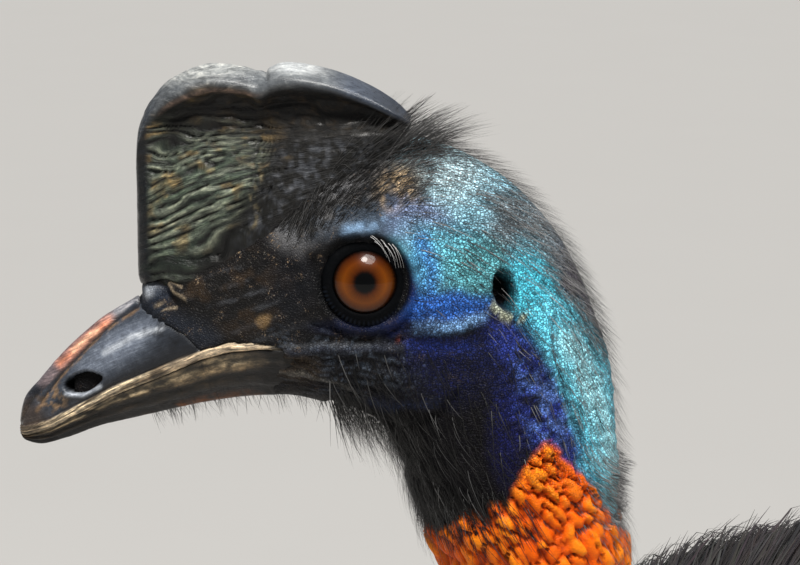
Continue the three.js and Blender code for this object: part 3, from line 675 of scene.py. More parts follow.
def eye_finish():
    """A wet eye: pupil, fibrous iris with painted shadow of the lid over its top, and a dark edge, read from
    the eyeball's own map.
    """
    material, add, mix, span, sums, put, _, _ = new_finish(
        "wet eye", Roughness=0.3, Specular_IOR_Level=0.06, Coat_Weight=0.7, Coat_Roughness=0.02,
        Coat_IOR=1.3
    )
    uv = add("UVMap", uv_map="UVMap").outputs[0]
    ring = read(add, "Ring")
    turned = add("Mapping", {"Vector": uv, "Scale": (70.0, 6.0, 1.0)}).outputs[0]
    fibre = add("TexNoise", {"Vector": turned, "Scale": 1.0, "Detail": 5.0, "Roughness": 0.65}).outputs[0]
    wobble = sums("ADD", ring, span(fibre, 0.3, 0.7, -0.02, 0.02))
    ramp = add("ValToRGB", {0: wobble})
    stops = [
        (0.0, (3, 4, 5)), (0.28, (4, 5, 6)), (0.33, (34, 14, 4)), (0.42, (78, 37, 7)), (
            0.66, (120, 64, 11)
        ),
        (0.86, (82, 41, 8)), (0.94, (28, 13, 5)), (1.0, (4, 4, 4)),
    ]
    while len(ramp.color_ramp.elements) < len(stops):
        ramp.color_ramp.elements.new(0.5)
    for element, (at, colour) in zip(ramp.color_ramp.elements, stops):
        element.position = at
        element.color = (*tint(*colour), 1)
    # painted shadow of the lid: the top of the iris is darkened
    upper = read(add, "Upper")
    base = mix(
        span(upper, 0.4, 0.95, 0.0, 0.9), ramp.outputs[0],
        mix(1.0, ramp.outputs[0], (0.3, 0.16, 0.1), "MULTIPLY")
    )
    base = mix(span(fibre, 0.45, 0.75, 0.0, 0.5), base, mix(0.5, base, tint(230, 160, 60), "SOFT_LIGHT"))
    put("Base Color", base)
    return material


def scale_finish(name, light, dark, size):
    """Horny scales: plates with dark joints, placed by the piece's object coordinates."""
    material, add, mix, span, _, put, bump, place = new_finish(name, Specular_IOR_Level=0.4)
    cell = add(
        "TexVoronoi", {"Vector": place, "Scale": size, "Randomness": 0.8}, feature="DISTANCE_TO_EDGE"
    ).outputs["Distance"]
    hue = add("TexVoronoi", {"Vector": place, "Scale": size, "Randomness": 0.8}).outputs["Color"]
    grime = noise(add, place, 60.0, 8.0, 0.7)
    base = mix(add("SeparateColor", {0: hue}).outputs[0], light, mix(0.35, light, dark))
    base = mix(span(cell, 0.0, 0.12, 1.0, 0.0), base, dark)
    base = mix(span(grime, 0.4, 0.65, 0.0, 0.6), base, mix(0.6, base, dark))
    put("Base Color", base)
    put("Roughness", span(grime, 0.3, 0.7, 0.42, 0.7))
    put("Normal", bump(grime, 0.0005, bump(span(cell, 0.0, 0.2), 0.0011)))
    return material


def coat_finish(name, roughness, tip):
    """Glossy hair-like feathers, paler and browner towards the tip."""
    material, add, mix, span, _, put, bump, place = new_finish(name, Specular_IOR_Level=0.3)
    marks = read(add, "Markings", "Color")
    reach = read(add, "Reach")
    broad = noise(add, place, 90.0, 4.0)
    base = mix(span(reach, 0.45, 1.0, 0.0, tip), marks, mix(0.5, marks, tint(106, 102, 100)))
    base = mix(span(broad, 0.4, 0.7, 0.0, 0.5), base, mix(0.6, base, (0.004, 0.004, 0.005)))
    put("Base Color", base)
    put("Roughness", span(broad, 0.3, 0.7, roughness - 0.08, roughness + 0.12))
    put("Normal", bump(broad, 0.0003))
    return material


def floor_finish(colour):
    material, add, mix, span, _, put, _, place = new_finish("studio floor", Roughness=0.85)
    cloudy = noise(add, place, 3.0, 4.0)
    put("Base Color", mix(span(cloudy, 0.3, 0.7, 0.0, 0.25), colour, [c * 0.97 for c in colour]))
    return material


# The head and neck
CARUNCLE_EDGE = np.array([
    (300, 560), (425, 528), (437, 525), (475, 513), (503, 496), (518, 474), (528, 452), (541, 441), (
        560, 450
    ),
    (577, 464), (592, 494), (606, 509), (626, 536), (640, 570), (660, 640), (760, 700),
])
BILL_EDGE = np.array([(120, 255), (136, 292), (146, 310), (168, 322), (188, 334), (204, 350)])
mouth_height = lambda x: np.interp(x, MOUTH[:, 0], MOUTH[:, 1])


def bill_cover(p):
    """1 on the horn of the bill, 0 on skin, with a narrow change between them."""
    px, py = profile(p)
    edge = np.interp(py, BILL_EDGE[:, 1], BILL_EDGE[:, 0])
    upper = smooth((edge - px) / 16 + 0.5)
    above = p[..., 2] - mouth_height(p[..., 0])
    strip = smooth((3.4 - 2.2 * smooth((px - 225) / 70) - above) / 1.2) * smooth((286 - px) / 24 + 0.5)
    lower = smooth((290 + 0.3 * above * UNITS_PER_MM - px) / 30 + 0.5)
    return np.where(above > 0, np.maximum(upper, strip), lower)


def skin_grid():
    spans = [(0.2, 0.36, 16), (0.36, 0.5, 58), (0.5, 0.5625, 14), (0.5625, 0.9375, 142), (0.9375, 1.0, 8),
             (1.0, 1.3, 32), (1.3, 1.66, 86), (1.66, 1.97, 30)]
    s = np.concatenate([np.linspace(a, b, n, endpoint=False) for a, b, n in spans] + [[1.97]])
    around = 216
    angle = once_round(around)
    s, angle = grid(s, angle)
    return s, skin_point(s, angle)


def caruncle_field(p, px, py, s):
    """Cover, height and cell draw of the orange knobs, which lie one over the next down the neck."""
    ragged = py + 17 * (clouds(p, 8, 31) - 0.5) * 2
    cover = smooth((ragged - np.interp(px, CARUNCLE_EDGE[:, 0], CARUNCLE_EDGE[:, 1])) / 10 + 0.3)
    cover = np.maximum(cover, smooth((s - 1.36) * 12)) * smooth((1.70 - s) * 14)
    cover = np.where(s > 0.8, cover, 0) * (py > 400)
    lie = unit(np.array([0.62, 0.0, -0.78]))
    along = np.sum(p * lie, -1, keepdims=True)
    squeezed = p - lie * along * 0.58
    warp = np.stack([clouds(p, 9, 40 + n) - 0.5 for n in range(3)], -1) * 4
    first, second, own = pebbles(squeezed + warp, 3.7, 7)
    dome = np.sqrt(clamp01(1 - (first / 0.95) ** 2))
    height = dome * smooth((second - first) * 4.4) ** 0.5 * (0.7 + 0.5 * own)
    return cover, height, own


def hind_swell(px, py):
    """Fullness of the hind neck, in millimetres."""
    return 2.4 * smooth((px - 575) / 30) * smooth((py - 300) / 60) * smooth((520 - py) / 50)


# Height in millimetres, path, half width and softness in picture units
FACE_FOLDS = [
    (2.4, [(318, 250), (345, 234), (372, 231), (400, 244), (414, 262)], 5, 7),
    (1.3, [(300, 262), (310, 280), (312, 305)], 4, 7),
    (-1.5, [(316, 324), (342, 331), (372, 334), (406, 328), (425, 318)], 1.6, 3),
    (-1.3, [(322, 337), (350, 340), (385, 341), (404, 337)], 1.6, 3),
    (1.3, [(290, 352), (330, 347), (365, 349), (402, 346)], 3, 4),
    (-1.0, [(290, 361), (330, 359), (372, 361), (410, 366)], 1.5, 3),
    (1.0, [(292, 372), (322, 374), (352, 384), (380, 392)], 3, 4),
    (1.7, [(418, 328), (448, 327), (480, 321)], 6, 7),
    (-1.0, [(410, 316), (440, 312), (470, 309), (490, 312)], 1.5, 3),
    (-1.1, [(425, 345), (460, 346), (492, 338)], 1.5, 4),
    (-1.5, [(330, 404), (370, 418), (405, 427), (440, 412), (456, 392)], 2, 5),
    (-1.0, [(550, 318), (554, 352), (563, 392), (577, 434)], 1.6, 4),
    (1.0, [(540, 322), (543, 352), (552, 396), (566, 440)], 4, 5),
    (-0.9, [(164, 272), (168, 292), (182, 306)], 1.5, 3),
]


def face_relief(p, px, py):
    """Heights of the folds and ridges of the face, ears and neck, in millimetres."""
    horn = bill_cover(p)
    rise = -1.5 * smooth(2 * horn - 1) + 0.1 * smooth(1 - np.abs(horn - 0.36) / 0.34) * (py < 352)
    eye = np.hypot(px - EYE_SPOT[0], py - EYE_SPOT[1])
    rise += -4.5 * smooth((LID_INNER - eye) / 6) - 1.1 * smooth((LID_OUTER - eye) / 6)
    rise += 0.9 * smooth(1 - np.abs(eye - LID_OUTER) / 6) * (py > 250)
    rise += -0.7 * smooth(1 - np.abs(eye - 55) / 4) * (px > 330)
    for high, path, wide, soft in FACE_FOLDS:
        rise += high * stroke(px, py, path, wide, soft)
    rise += 1.6 * patch(px, py, 408, 388, 48, 30, 0, 0.6)
    flow = (py - 0.16 * (px - 300)) / 6.5 + 2.5 * clouds(p, 14, 3)
    cheek = patch(px, py, 345, 368, 70, 24, 8)
    rise += 0.4 * cheek * np.sin(flow * 2 * math.pi) * (0.4 + 1.2 * clouds(p, 8, 9))
    lore = patch(px, py, 262, 300, 70, 42, 15)
    rise += 0.14 * lore * np.sin((py + 0.35 * px) / 8 * math.pi + 4 * clouds(p, 10, 5))
    rise += 3.2 * patch(px, py, 154, 287, 9, 17, -8, 0.5) + 1.4 * stroke(
        px, py, [(170, 272), (176, 290), (192, 300)], 3, 4
    )
    ear = patch(px, py, 501, 290, 9.5, 18, -12, 0.22)
    rim = patch(px, py, 502, 290, 17, 27, -12, 0.4)
    rise += 1.5 * rim - 8.5 * ear
    rise += hind_swell(px, py)
    wrinkles = patch(px, py, 585, 430, 48, 120, -15, 0.5)
    band = (py + 34 * clouds(p, 14, 8)) / 9
    rise += 0.3 * wrinkles * np.sin(band * math.pi) * (0.3 + 1.2 * clouds(p, 6, 14))
    bumps = patch(px, py, 536, 408, 34, 60, -20, 0.5)
    first, second, _ = pebbles(p + 2 * clouds(p, 6, 11)[..., None], 3.4, 13)
    rise += 1.1 * np.maximum(bumps, 0.35 * wrinkles) * smooth((second - first) * 2)
    rise += 0.35 * (clouds(p, 5, 17) - 0.5) * (1 - bill_cover(p))
    return rise


def skin_marks(p, px, py, s, cover, knob, own):
    """Colours of the bare skin, with painted highlights and painted shade among them, and where it is
    granular, dusty and glossy.
    """
    from_eye = np.hypot(px - EYE_SPOT[0], py - EYE_SPOT[1])
    wander = 7 * (clouds(p, 7, 50) - 0.5) * 2
    x, y = px + wander, py + 7 * (clouds(p, 7, 60) - 0.5) * 2
    colours = np.zeros(p.shape) + tint(11, 10, 10)
    soft = Paint(colours, x, y)
    sharp = Paint(colours, px, py)
    soft.line((84, 80, 90), [(395, 95), (470, 125), (540, 190), (580, 250), (596, 300)], 34, 22)
    soft.spot((24, 23, 22), 250, 300, 74, 50, 10, 0.5)
    # painted sheen along the tops of the lore's creases
    creases = np.sin((py + 0.35 * px) / 8 * math.pi + 4 * clouds(p, 10, 5))
    soft.spot(
        (70, 72, 76), 240, 305, 66, 40, 12, 0.5,
        share=smooth(creases * 3 - 1.6) * fleck(p, 5, 82, 0.42, 5) * 0.6
    )
    soft.spot((46, 37, 28), 236, 290, 60, 36, 10, 0.5, share=fleck(p, 6, 52, 0.45, 6))
    soft.spot((16, 19, 25), 296, 290, 22, 40, 0, 0.7, share=0.6)
    soft.line(
        (126, 126, 128), [(296, 222), (330, 200), (364, 182), (410, 136)], 22, 22,
        (0.25 + 0.75 * fleck(p, 5, 54, 0.42, 5))
    )
    soft.spot((150, 205, 226), 464, 174, 70, 46, 44, 0.4)
    soft.spot((204, 236, 246), 446, 166, 36, 34, 38, 0.6)
    soft.spot((118, 136, 146), 522, 232, 46, 28, 48, 0.5)
    soft.spot((124, 140, 176), 420, 222, 34, 22, 30, 0.6)
    # painted highlight along the brow ridge and down the eye's right side
    soft.line(
        (130, 162, 196), [(352, 232), (380, 222), (402, 232), (418, 254)], 6, 9,
        (0.3 + 0.7 * fleck(p, 3, 56, 0.4, 5))
    )
    soft.spot((206, 178, 140), 398, 188, 18, 22, 40, 0.6, share=fleck(p, 4, 58, 0.36, 5))
    soft.spot((104, 182, 206), 440, 262, 40, 34, 20, 0.5)
    soft.spot((92, 162, 172), 474, 268, 30, 26, 0, 0.6)
    soft.line((20, 42, 112), [(406, 262), (413, 288), (407, 312), (392, 326)], 6, 7)
    soft.line((52, 106, 196), [(420, 244), (428, 270), (430, 300)], 7, 9, 0.7)
    soft.spot((52, 104, 190), 448, 306, 44, 12, -6, 0.6)
    # bright blue streak along the ridge under the eye, partly its own blue, partly painted highlight
    soft.line(
        (140, 190, 246), [(416, 327), (448, 327), (482, 319)], 5, 6,
        (0.35 + 0.65 * fleck(p, 2.6, 76, 0.38, 6))
    )
    soft.spot((84, 200, 226), 531, 292, 24, 46, -14, 0.45)
    soft.line((38, 52, 126), [(505, 345), (528, 395), (560, 440), (585, 480)], 26, 16)
    soft.spot((86, 116, 188), 540, 400, 22, 44, -20, 0.6, share=fleck(p, 3.2, 70, 0.4, 6))
    soft.spot((8, 9, 20), 520, 410, 30, 66, -14, 0.5, share=fleck(p, 3.6, 72, 0.48, 7) * 0.88)
    soft.line(
        (110, 214, 240), [(556, 318), (578, 372), (600, 432), (612, 490), (620, 545), (640, 640)], 25, 10
    )
    soft.line((170, 236, 250), [(568, 340), (592, 400), (606, 455), (614, 500)], 10, 10)
    soft.line((58, 66, 74), [(592, 290), (609, 345), (617, 430), (624, 500), (632, 600)], 4, 10, 0.8)
    soft.spot((12, 17, 50), 434, 368, 46, 32, 20, 0.6)
    soft.line((34, 50, 120), [(412, 342), (440, 346), (474, 344)], 5, 8, 0.8)
    soft.line((9, 10, 20), [(480, 340), (494, 380), (500, 420)], 8, 12, 0.8)
    soft.line((6, 5, 7), [(400, 425), (440, 440), (478, 455), (470, 505), (430, 520)], 40, 16)
    soft.spot((22, 28, 84), 506, 428, 16, 44, 0, 0.7, share=0.6)
    # painted shade in the groove down the side of the neck
    soft.line((40, 42, 66), [(549, 318), (553, 352), (562, 392), (576, 432)], 1.5, 4, 0.8)
    sharp.line(
        (200, 206, 176), [(489, 304), (499, 315), (512, 319), (522, 316)], 3, 4, fleck(p, 2.2, 78, 0.4, 6)
    )
    # painted shade in the ear opening
    sharp.spot((6, 4, 4), 501, 290, 11, 19, -12, 0.3)
    soft.spot((30, 31, 34), 345, 366, 66, 22, 8, 0.5)
    # painted highlight along the cheek's wrinkles
    lines = np.sin(((y - 0.16 * (x - 300)) / 5.2 + 2.5 * clouds(p, 12, 3)) * 2 * math.pi)
    soft.spot(
        (88, 98, 112), 340, 362, 76, 28, 8, 0.5,
        share=smooth(lines * 2 - 0.5) * fleck(p, 5, 66, 0.38, 5) * 0.75
    )
    soft.spot((70, 60, 48), 300, 364, 22, 14, 0, 0.6, share=0.8)
    soft.line((112, 110, 104), [(280, 370), (322, 375), (352, 384)], 1.5, 3, 0.7)
    soft.line((36, 40, 48), [(148, 310), (180, 318), (208, 336)], 10, 14, 0.95)
    soft.line((116, 120, 126), [(288, 346), (330, 342), (372, 343), (404, 346)], 1.0, 2.2, 0.6)
    soft.spot((66, 76, 88), 356, 214, 52, 20, -12, 0.6, share=fleck(p, 4, 74, 0.4, 5) * 0.8)
    soft.line((48, 52, 62), [(292, 352), (330, 347), (402, 346)], 3, 4)
    soft.line((50, 62, 96), [(372, 396), (402, 402), (436, 398)], 4, 6, 0.4)
    lay(colours, (6, 7, 9), smooth((LID_BLACK - 4 - from_eye) / 10))
    sharp.spot((22, 30, 60), 372, 326, 50, 9, 0, 0.5, share=0.7)
    sharp.spot((44, 51, 64), 156, 287, 15, 21, -8, 0.5)
    # painted highlight on the glossy lump's top
    sharp.line((206, 212, 220), [(155, 276), (159, 287), (157, 297)], 2, 4, 0.9)
    # painted shade in the fold beside the lump
    sharp.line((16, 18, 24), [(166, 276), (168, 290), (162, 303)], 1.5, 3, 0.8)
    for fold in (
        [(165, 270), (172, 280), (184, 286)], [(168, 280), (176, 291), (190, 297)],
        [(160, 302), (168, 306), (178, 304)]
    ):
        soft.line((176, 158, 132), fold, 0.8, 1.6, 0.8)
    soft.spot((124, 100, 68), 268, 320, 7, 6, 0, 0.4, share=0.8)
    sharp.spot((96, 44, 30), 398, 338, 2.4, 2.4, 0, 0.6, share=0.8)
    # painted shade between the knobs, darkest near the top edge, partly their own red-brown
    deep = smooth(
        (py - np.interp(px, CARUNCLE_EDGE[:, 0], CARUNCLE_EDGE[:, 1])) / 50 + 0.2 * clouds(p, 9, 68)
    )[..., None]
    gap = tint(44, 14, 5) + (tint(150, 46, 5) - tint(44, 14, 5)) * deep
    orange = gap + (tint(238, 92, 6) - gap) * smooth(knob * 2.9)[..., None]
    # painted highlight, yellower, on the knobs' tops
    orange += (tint(255, 142, 22) - orange) * (smooth(knob * 1.6 - 0.7) * (0.35 + 0.65 * own))[..., None]
    colours += (orange - colours) * cover[..., None]
    lay(colours, (26, 24, 26), smooth((s - 1.68) * 20))
    grain = np.zeros(px.shape) + 0.25 + 0.4 * patch(px, py, 355, 375, 80, 44, 0, 0.5)
    blue = patch(px, py, 510, 300, 130, 190, -25, 0.25) * smooth((px - 380) / 40)
    grain += 0.75 * blue - 0.3 * cover
    grain *= 1 - 0.8 * smooth((LID_BLACK - from_eye) / 10)
    dust = (
        0.6 * patch(px, py, 250, 300, 90, 60, 10, 0.4) + 0.5 * patch(px, py, 300, 215, 90, 40, -30, 0.4)
        + patch(px, py, 395, 190, 28, 30, 0, 0.5) + 0.15
    )
    dust = dust * (1 - cover) * (1 - smooth((py - 380) / 20))
    gloss = (
        1.0 * patch(px, py, 154, 287, 12, 20, -8) + 0.35 * patch(px, py, 180, 320, 46, 30, 0, 0.5)
        + 0.5 * smooth((LID_BLACK - from_eye) / 10) + 0.35 * cover
    )
    gloss += 0.5 * stroke(px, py, [(292, 352), (402, 346)], 4, 4)
    return colours, np.stack([clamp01(grain), clamp01(dust), clamp01(gloss)], -1)


def make_wattle():
    out, size = split(track(WATTLE)(np.linspace(0, 1, 60)))
    t = np.linspace(0, 1, 60)[:, None]
    angle = (once_round(72))[None]
    root = neck_point(np.array(0.39), np.array(0.0), -5.0)
    outward = neck_point(np.array(0.39), np.array(0.0), 0.0) - root
    outward = unit(outward * [1, 1, 0])
    across = np.array([-outward[1], outward[0], 0])
    place = root + outward * (8 - out[:, None] + size[:, None] * 0.75 * np.cos(angle))[..., None]
    place = place + across * (size[:, None] * np.sin(angle))[..., None]
    place = place + np.array([0, 0, 1.0]) * ((10 - 58 * t) + 0 * angle)[..., None]
    first, second, _ = pebbles(place, 4.2, 90)
    knob = smooth((second - first) * 1.8)
    place = place + grid_normals(place) * (1.1 * (knob - 0.5) * np.sin(math.pi * t) ** 0.3)[..., None]
    # the wattle's red, lighter on the knobs by painted highlight and darker between them by painted shade
    colours = tint(96, 20, 10) + (tint(206, 62, 24) - tint(96, 20, 10)) * knob[..., None]
    finish = np.zeros(colours.shape) + [0.4, 0.0, 0.35]
    return shell("wattle", to_room(place), Markings=colours, Finish=finish)


class BirdSkin(bpy.types.PropertyGroup):
    knob_height: FloatProperty(
        name="Caruncle height", description="How far the orange knobs stand off the neck", default=0.0032,
        unit="LENGTH"
    )


class CASSOWARY_OT_skin(bpy.types.Operator):
    """Makes the skin of the head, neck and trunk in one piece"""
    bl_idname = "cassowary.skin"
    bl_label = "Skin"

    def execute(self, context):
        s, p = skin_grid()
        px, py = profile(p)
        n = grid_normals(p)
        cover, knob, own = caruncle_field(p, px, py, s)
        relief = face_relief(p, px, py) * (1 - cover)
        relief += cover * knob * context.scene.bird_skin.knob_height * 1000
        placed = p + n * relief[..., None]
        colours, finish = skin_marks(p, px, py, s, cover, knob, own)
        head = shell("skin", to_room(to_bird(placed)), Markings=colours, Finish=finish)
        t, a = grid(np.linspace(0.03, TORSO_END, 40), once_round(64))
        trunk_points = torso_point(t, a, -4.0)
        dark = np.zeros(trunk_points.shape) + tint(22, 20, 22)
        trunk = shell("trunk", to_room(trunk_points), Markings=dark, Finish=dark * 0 + 0.2)
        replaced = ["head", "ear_left", "ear_right", "neck_upper", "neck_middle", "neck_base", "torso"]
        piece("skin", [head, make_wattle(), trunk], skin_finish(), replaced)
        return {"FINISHED"}


# The bill
NOSTRIL = (84, 382)


def bill_half(upper, around=132, rows=190):
    """One half of the bill: horn outside, and a flat side along the line of the mouth."""
    t, q = grid(np.linspace(0.0, 0.5 if upper else 0.51, rows), np.arange(around) / around)
    low_x, low_z, _, high_z, _, widest, _ = split(HEAD_TRACK(t))
    gap = 0.25 if upper else -0.25
    line = mouth_height(low_x) + gap
    power = np.log(widest) / math.log(0.5)
    share = np.clip((line - low_z) / (high_z - low_z), 0.02, 0.98)
    meet = np.arccos(np.clip(1 - 2 * share ** (1 / power), -1, 1))
    fold = np.abs(q * 2 - 1)
    side = np.sign(q * 2 - 1)
    outer = clamp01(fold / 0.86)
    angle = math.pi - outer * (math.pi - meet) if upper else outer * meet
    p = head_point(t, angle * np.where(side == 0, 1, side), 0.0)
    inner = clamp01((fold - 0.86) / 0.14)[..., None]
    flat = p.copy()
    flat[..., 1] *= 1 - inner[..., 0]
    flat[..., 2] += (0.7 if upper else -0.5) * inner[..., 0]
    return np.where(inner > 0, flat, p), inner[..., 0], t


def bill_upper_relief(p, px, py, inner):
    groove = stroke(px, py, [(38, 402), (62, 372), (92, 342), (118, 318), (138, 306)], 1.2, 2.4)
    groove = np.maximum(groove, stroke(px, py, [(138, 306), (142, 296), (136, 288)], 1.2, 2.4))
    plate = smooth((py - np.interp(px, [10, 30, 62, 92, 118, 140], [440, 404, 372, 342, 318, 300])) / -3)
    rise = 0.55 * plate * (px < 140) - 0.9 * groove
    hole = patch(px, py, NOSTRIL[0], NOSTRIL[1], 19, 9.5 * (1 - 0.3 * smooth((px - 86) / 16)), -14, 0.14)
    rim = patch(px, py, NOSTRIL[0], NOSTRIL[1] + 1, 27, 15, -12, 0.4)
    rise += 0.7 * rim - 7.0 * hole
    above = p[..., 2] - mouth_height(p[..., 0])
    wide_strip = 3.1 - 1.7 * smooth((px - 225) / 70)
    strip = smooth((wide_strip - above) / 0.5)
    rise += 0.45 * strip - 0.4 * smooth(1 - np.abs(above - wide_strip - 0.3) / 0.7) * smooth((px - 60) / 30)
    rise += 0.14 * strip * np.sin(above * 7.5) + 0.25 * (clouds(p, 3.2, 71) - 0.5)
    swell = patch(px, py, 130, 348, 46, 20, -28, 0.6)
    rise += 0.7 * swell
    return rise * (1 - inner), plate * (px < 142), groove, hole, strip, above


def bill_upper_marks(p, px, py, plate, groove, hole, strip, above):
    wander = 5 * (clouds(p, 5, 80) - 0.5)
    x, y = px + wander, py + 4 * (clouds(p, 4, 85) - 0.5)
    colours = np.zeros(p.shape) + tint(58, 64, 74)
    soft = Paint(colours, x, y)
    sharp = Paint(colours, px, py)
    # painted highlight on the nasal swell: a broad soft sheen, then a bright line along its ridge
    soft.spot((112, 120, 134), 122, 346, 42, 13, -30, 0.7)
    soft.line((222, 228, 236), [(108, 352), (134, 338), (166, 327)], 1.5, 4.5, 0.7)
    sharp.spot((30, 32, 38), 176, 334, 30, 14, 20, 0.6, share=fleck(p, 1.6, 89, 0.5, 8) * 0.7)
    # painted shade along the foot of the nasal swell
    soft.line((22, 23, 27), [(60, 404), (110, 384), (160, 362), (196, 350)], 5, 8)
    lay(colours, (24, 26, 31), smooth((px + 0.7 * (py - 330) - 150) / 40) * 0.85)
    tone = np.zeros(p.shape) + tint(74, 80, 92)
    ridge = Paint(tone, x, y)
    ridge.line((126, 110, 112), [(44, 386), (70, 356), (112, 322)], 8, 6, 0.8)
    ridge.line((226, 142, 104), [(60, 364), (90, 338), (112, 320)], 2.5, 7)
    ridge.line((246, 202, 168), [(74, 351), (98, 331)], 1, 4, 0.9)
    ridge.line((24, 27, 34), [(18, 436), (26, 410), (36, 394)], 9, 8)
    ridge.spot((140, 140, 146), 130, 306, 18, 9, -34, 0.9)
    colours += (tone - colours) * smooth(plate * 1.4)[..., None]
    soft.line(
        (140, 112, 82), [(34, 412), (50, 392), (62, 375), (92, 345), (118, 321), (138, 309)], 1.4, 2.4,
        fleck(p, 2.2, 84, 0.34, 5) * 0.85
    )
    soft.spot((128, 104, 78), 52, 398, 14, 14, -40, 0.5, share=fleck(p, 1.6, 86, 0.5, 8) * 0.8)
    # painted shade in the groove round the culmen plate
    lay(colours, (30, 22, 16), groove * 0.8)
    fine = 0.5 + 0.5 * np.sin(above * 9 + 3 * clouds(p, 6, 88))
    edge = np.zeros(p.shape) + tint(214, 196, 166)
    lay(edge, (58, 44, 30), smooth(fine * 1.6 - 0.6) * 0.9)
    lay(edge, (206, 184, 156), patch(x, y, 220, 352, 60, 8, -10, 0.6) * 0.7)
    edge += (tint(18, 17, 17) - edge) * smooth((px - 250) / 40)[..., None]
    colours += (edge - colours) * strip[..., None]
    # painted shade in the groove along the top of the edge strip
    lay(colours, (24, 19, 14), smooth(1 - np.abs(above - 3.5 + 1.7 * smooth((px - 225) / 70)) / 0.5) * 0.8)
    soft.spot((62, 50, 40), 26, 424, 22, 22, 0, 0.6, share=0.75)
    # painted highlight on the nostril's lower lip
    sharp.line((190, 198, 210), [(66, 394), (84, 395), (102, 386)], 1.5, 2, 0.8)
    # painted shade inside the nostril
    lay(colours, (7, 5, 5), smooth(hole * 3))
    return colours


class CASSOWARY_OT_bill(bpy.types.Operator):
    """Makes the horn of the upper and lower bill"""
    bl_idname = "cassowary.bill"
    bl_label = "Bill"

    def execute(self, context):
        horn = horn_finish("bill horn", 420.0, 0.00012, 0.36, coat=0.2)
        p, inner, _ = bill_half(True)
        px, py = profile(p)
        rise, plate, groove, hole, strip, above = bill_upper_relief(p, px, py, inner)
        rise = rise + (0.12 - 1.3 * smooth(3 * (0.62 - bill_cover(p)))) * (1 - inner)
        n = grid_normals(p)
        n = n * (1 - inner)[..., None]
        colours = bill_upper_marks(p, px, py, plate, groove, hole, strip, above)
        gloss = (
            (0.14 * smooth((170 - px) / 40) - 0.35 * smooth(1 - bill_cover(p)) - 0.5 * hole) * (1 - strip)
        )
        flow = np.stack([px / 17, above * 1.5, 0.25 + 0.7 * strip + 0.25 * plate], -1)
        mesh = shell(
            "bill_upper_horn", to_room(to_bird(p + n * rise[..., None])), Markings=colours, Gloss=gloss,
            Flow=flow
        )
        piece("bill_upper_horn", [mesh], horn, ["bill_upper"])
        p, inner, t = bill_half(False)
        px, py = profile(p)
        below = mouth_height(p[..., 0]) - p[..., 2]
        depth = below / np.maximum(mouth_height(p[..., 0]) - HEAD_TRACK(t)[..., 1], 1)
        ridges = np.sin(depth * 22 + 2.5 * clouds(p * [0.3, 1, 1], 4, 95))
        n = grid_normals(p) * (1 - inner)[..., None]
        rise = (
            0.12 + 0.34 * ridges * smooth(depth * 5) - 1.3 * smooth(0.8 - 2 * bill_cover(p))
            + 0.2 * (clouds(p, 3, 96) - 0.5)
        )
        colours = np.zeros(p.shape) + tint(42, 35, 26)
        lay(colours, (196, 176, 142), smooth(1 - np.abs(depth - 0.13 - 0.06 * clouds(p, 7, 94)) / 0.12))
        # painted shade along the mouth line, where the bills meet
        lay(colours, (10, 8, 6), smooth((0.035 - depth) * 40))
        lay(
            colours, (24, 19, 14),
            smooth((clouds(p * [0.22, 1, 1], 2.2, 92) - 0.5) * 8) * smooth((0.6 - depth) * 6) * 0.8
        )
        lay(colours, (150, 130, 100), stroke(px, py, [(180, 384), (222, 368), (262, 364)], 3, 5) * 0.7)
        # painted shade between the mandible's ridges
        lay(colours, (14, 12, 10), clamp01(0.45 - 0.5 * ridges) * 0.95)
        lay(colours, (14, 12, 12), smooth((depth - 0.45) * 4) * 0.92)
        lay(
            colours, (86, 50, 20),
            smooth((px - 130) / 40) * smooth((286 - px) / 30) * smooth(
                1 - np.abs(depth - 0.86) / 0.16
            ) * fleck(p, 5, 99, 0.4, 5) * 0.9
        )
        lay(colours, (14, 13, 13), smooth((px - 226) / 50) * 0.95)
        lay(colours, (86, 66, 46), smooth((34 - px) / 12) * smooth(1 - np.abs(depth - 0.4) / 0.4) * 0.7)
        lay(colours, (24, 24, 27), smooth((30 - px) / 8) * smooth((0.25 - depth) * 6) * 0.8)
        flow = np.stack([px / 17, depth * 7, 1 - 0.4 * depth], -1)
        gloss = -0.1 - 0.25 * smooth((px - 250) / 30)
        mesh = shell(
            "bill_lower_horn", to_room(to_bird(p + n * rise[..., None])), Markings=colours, Gloss=gloss,
            Flow=flow
        )
        piece("bill_lower_horn", [mesh], horn, ["bill_lower"])
        return {"FINISHED"}


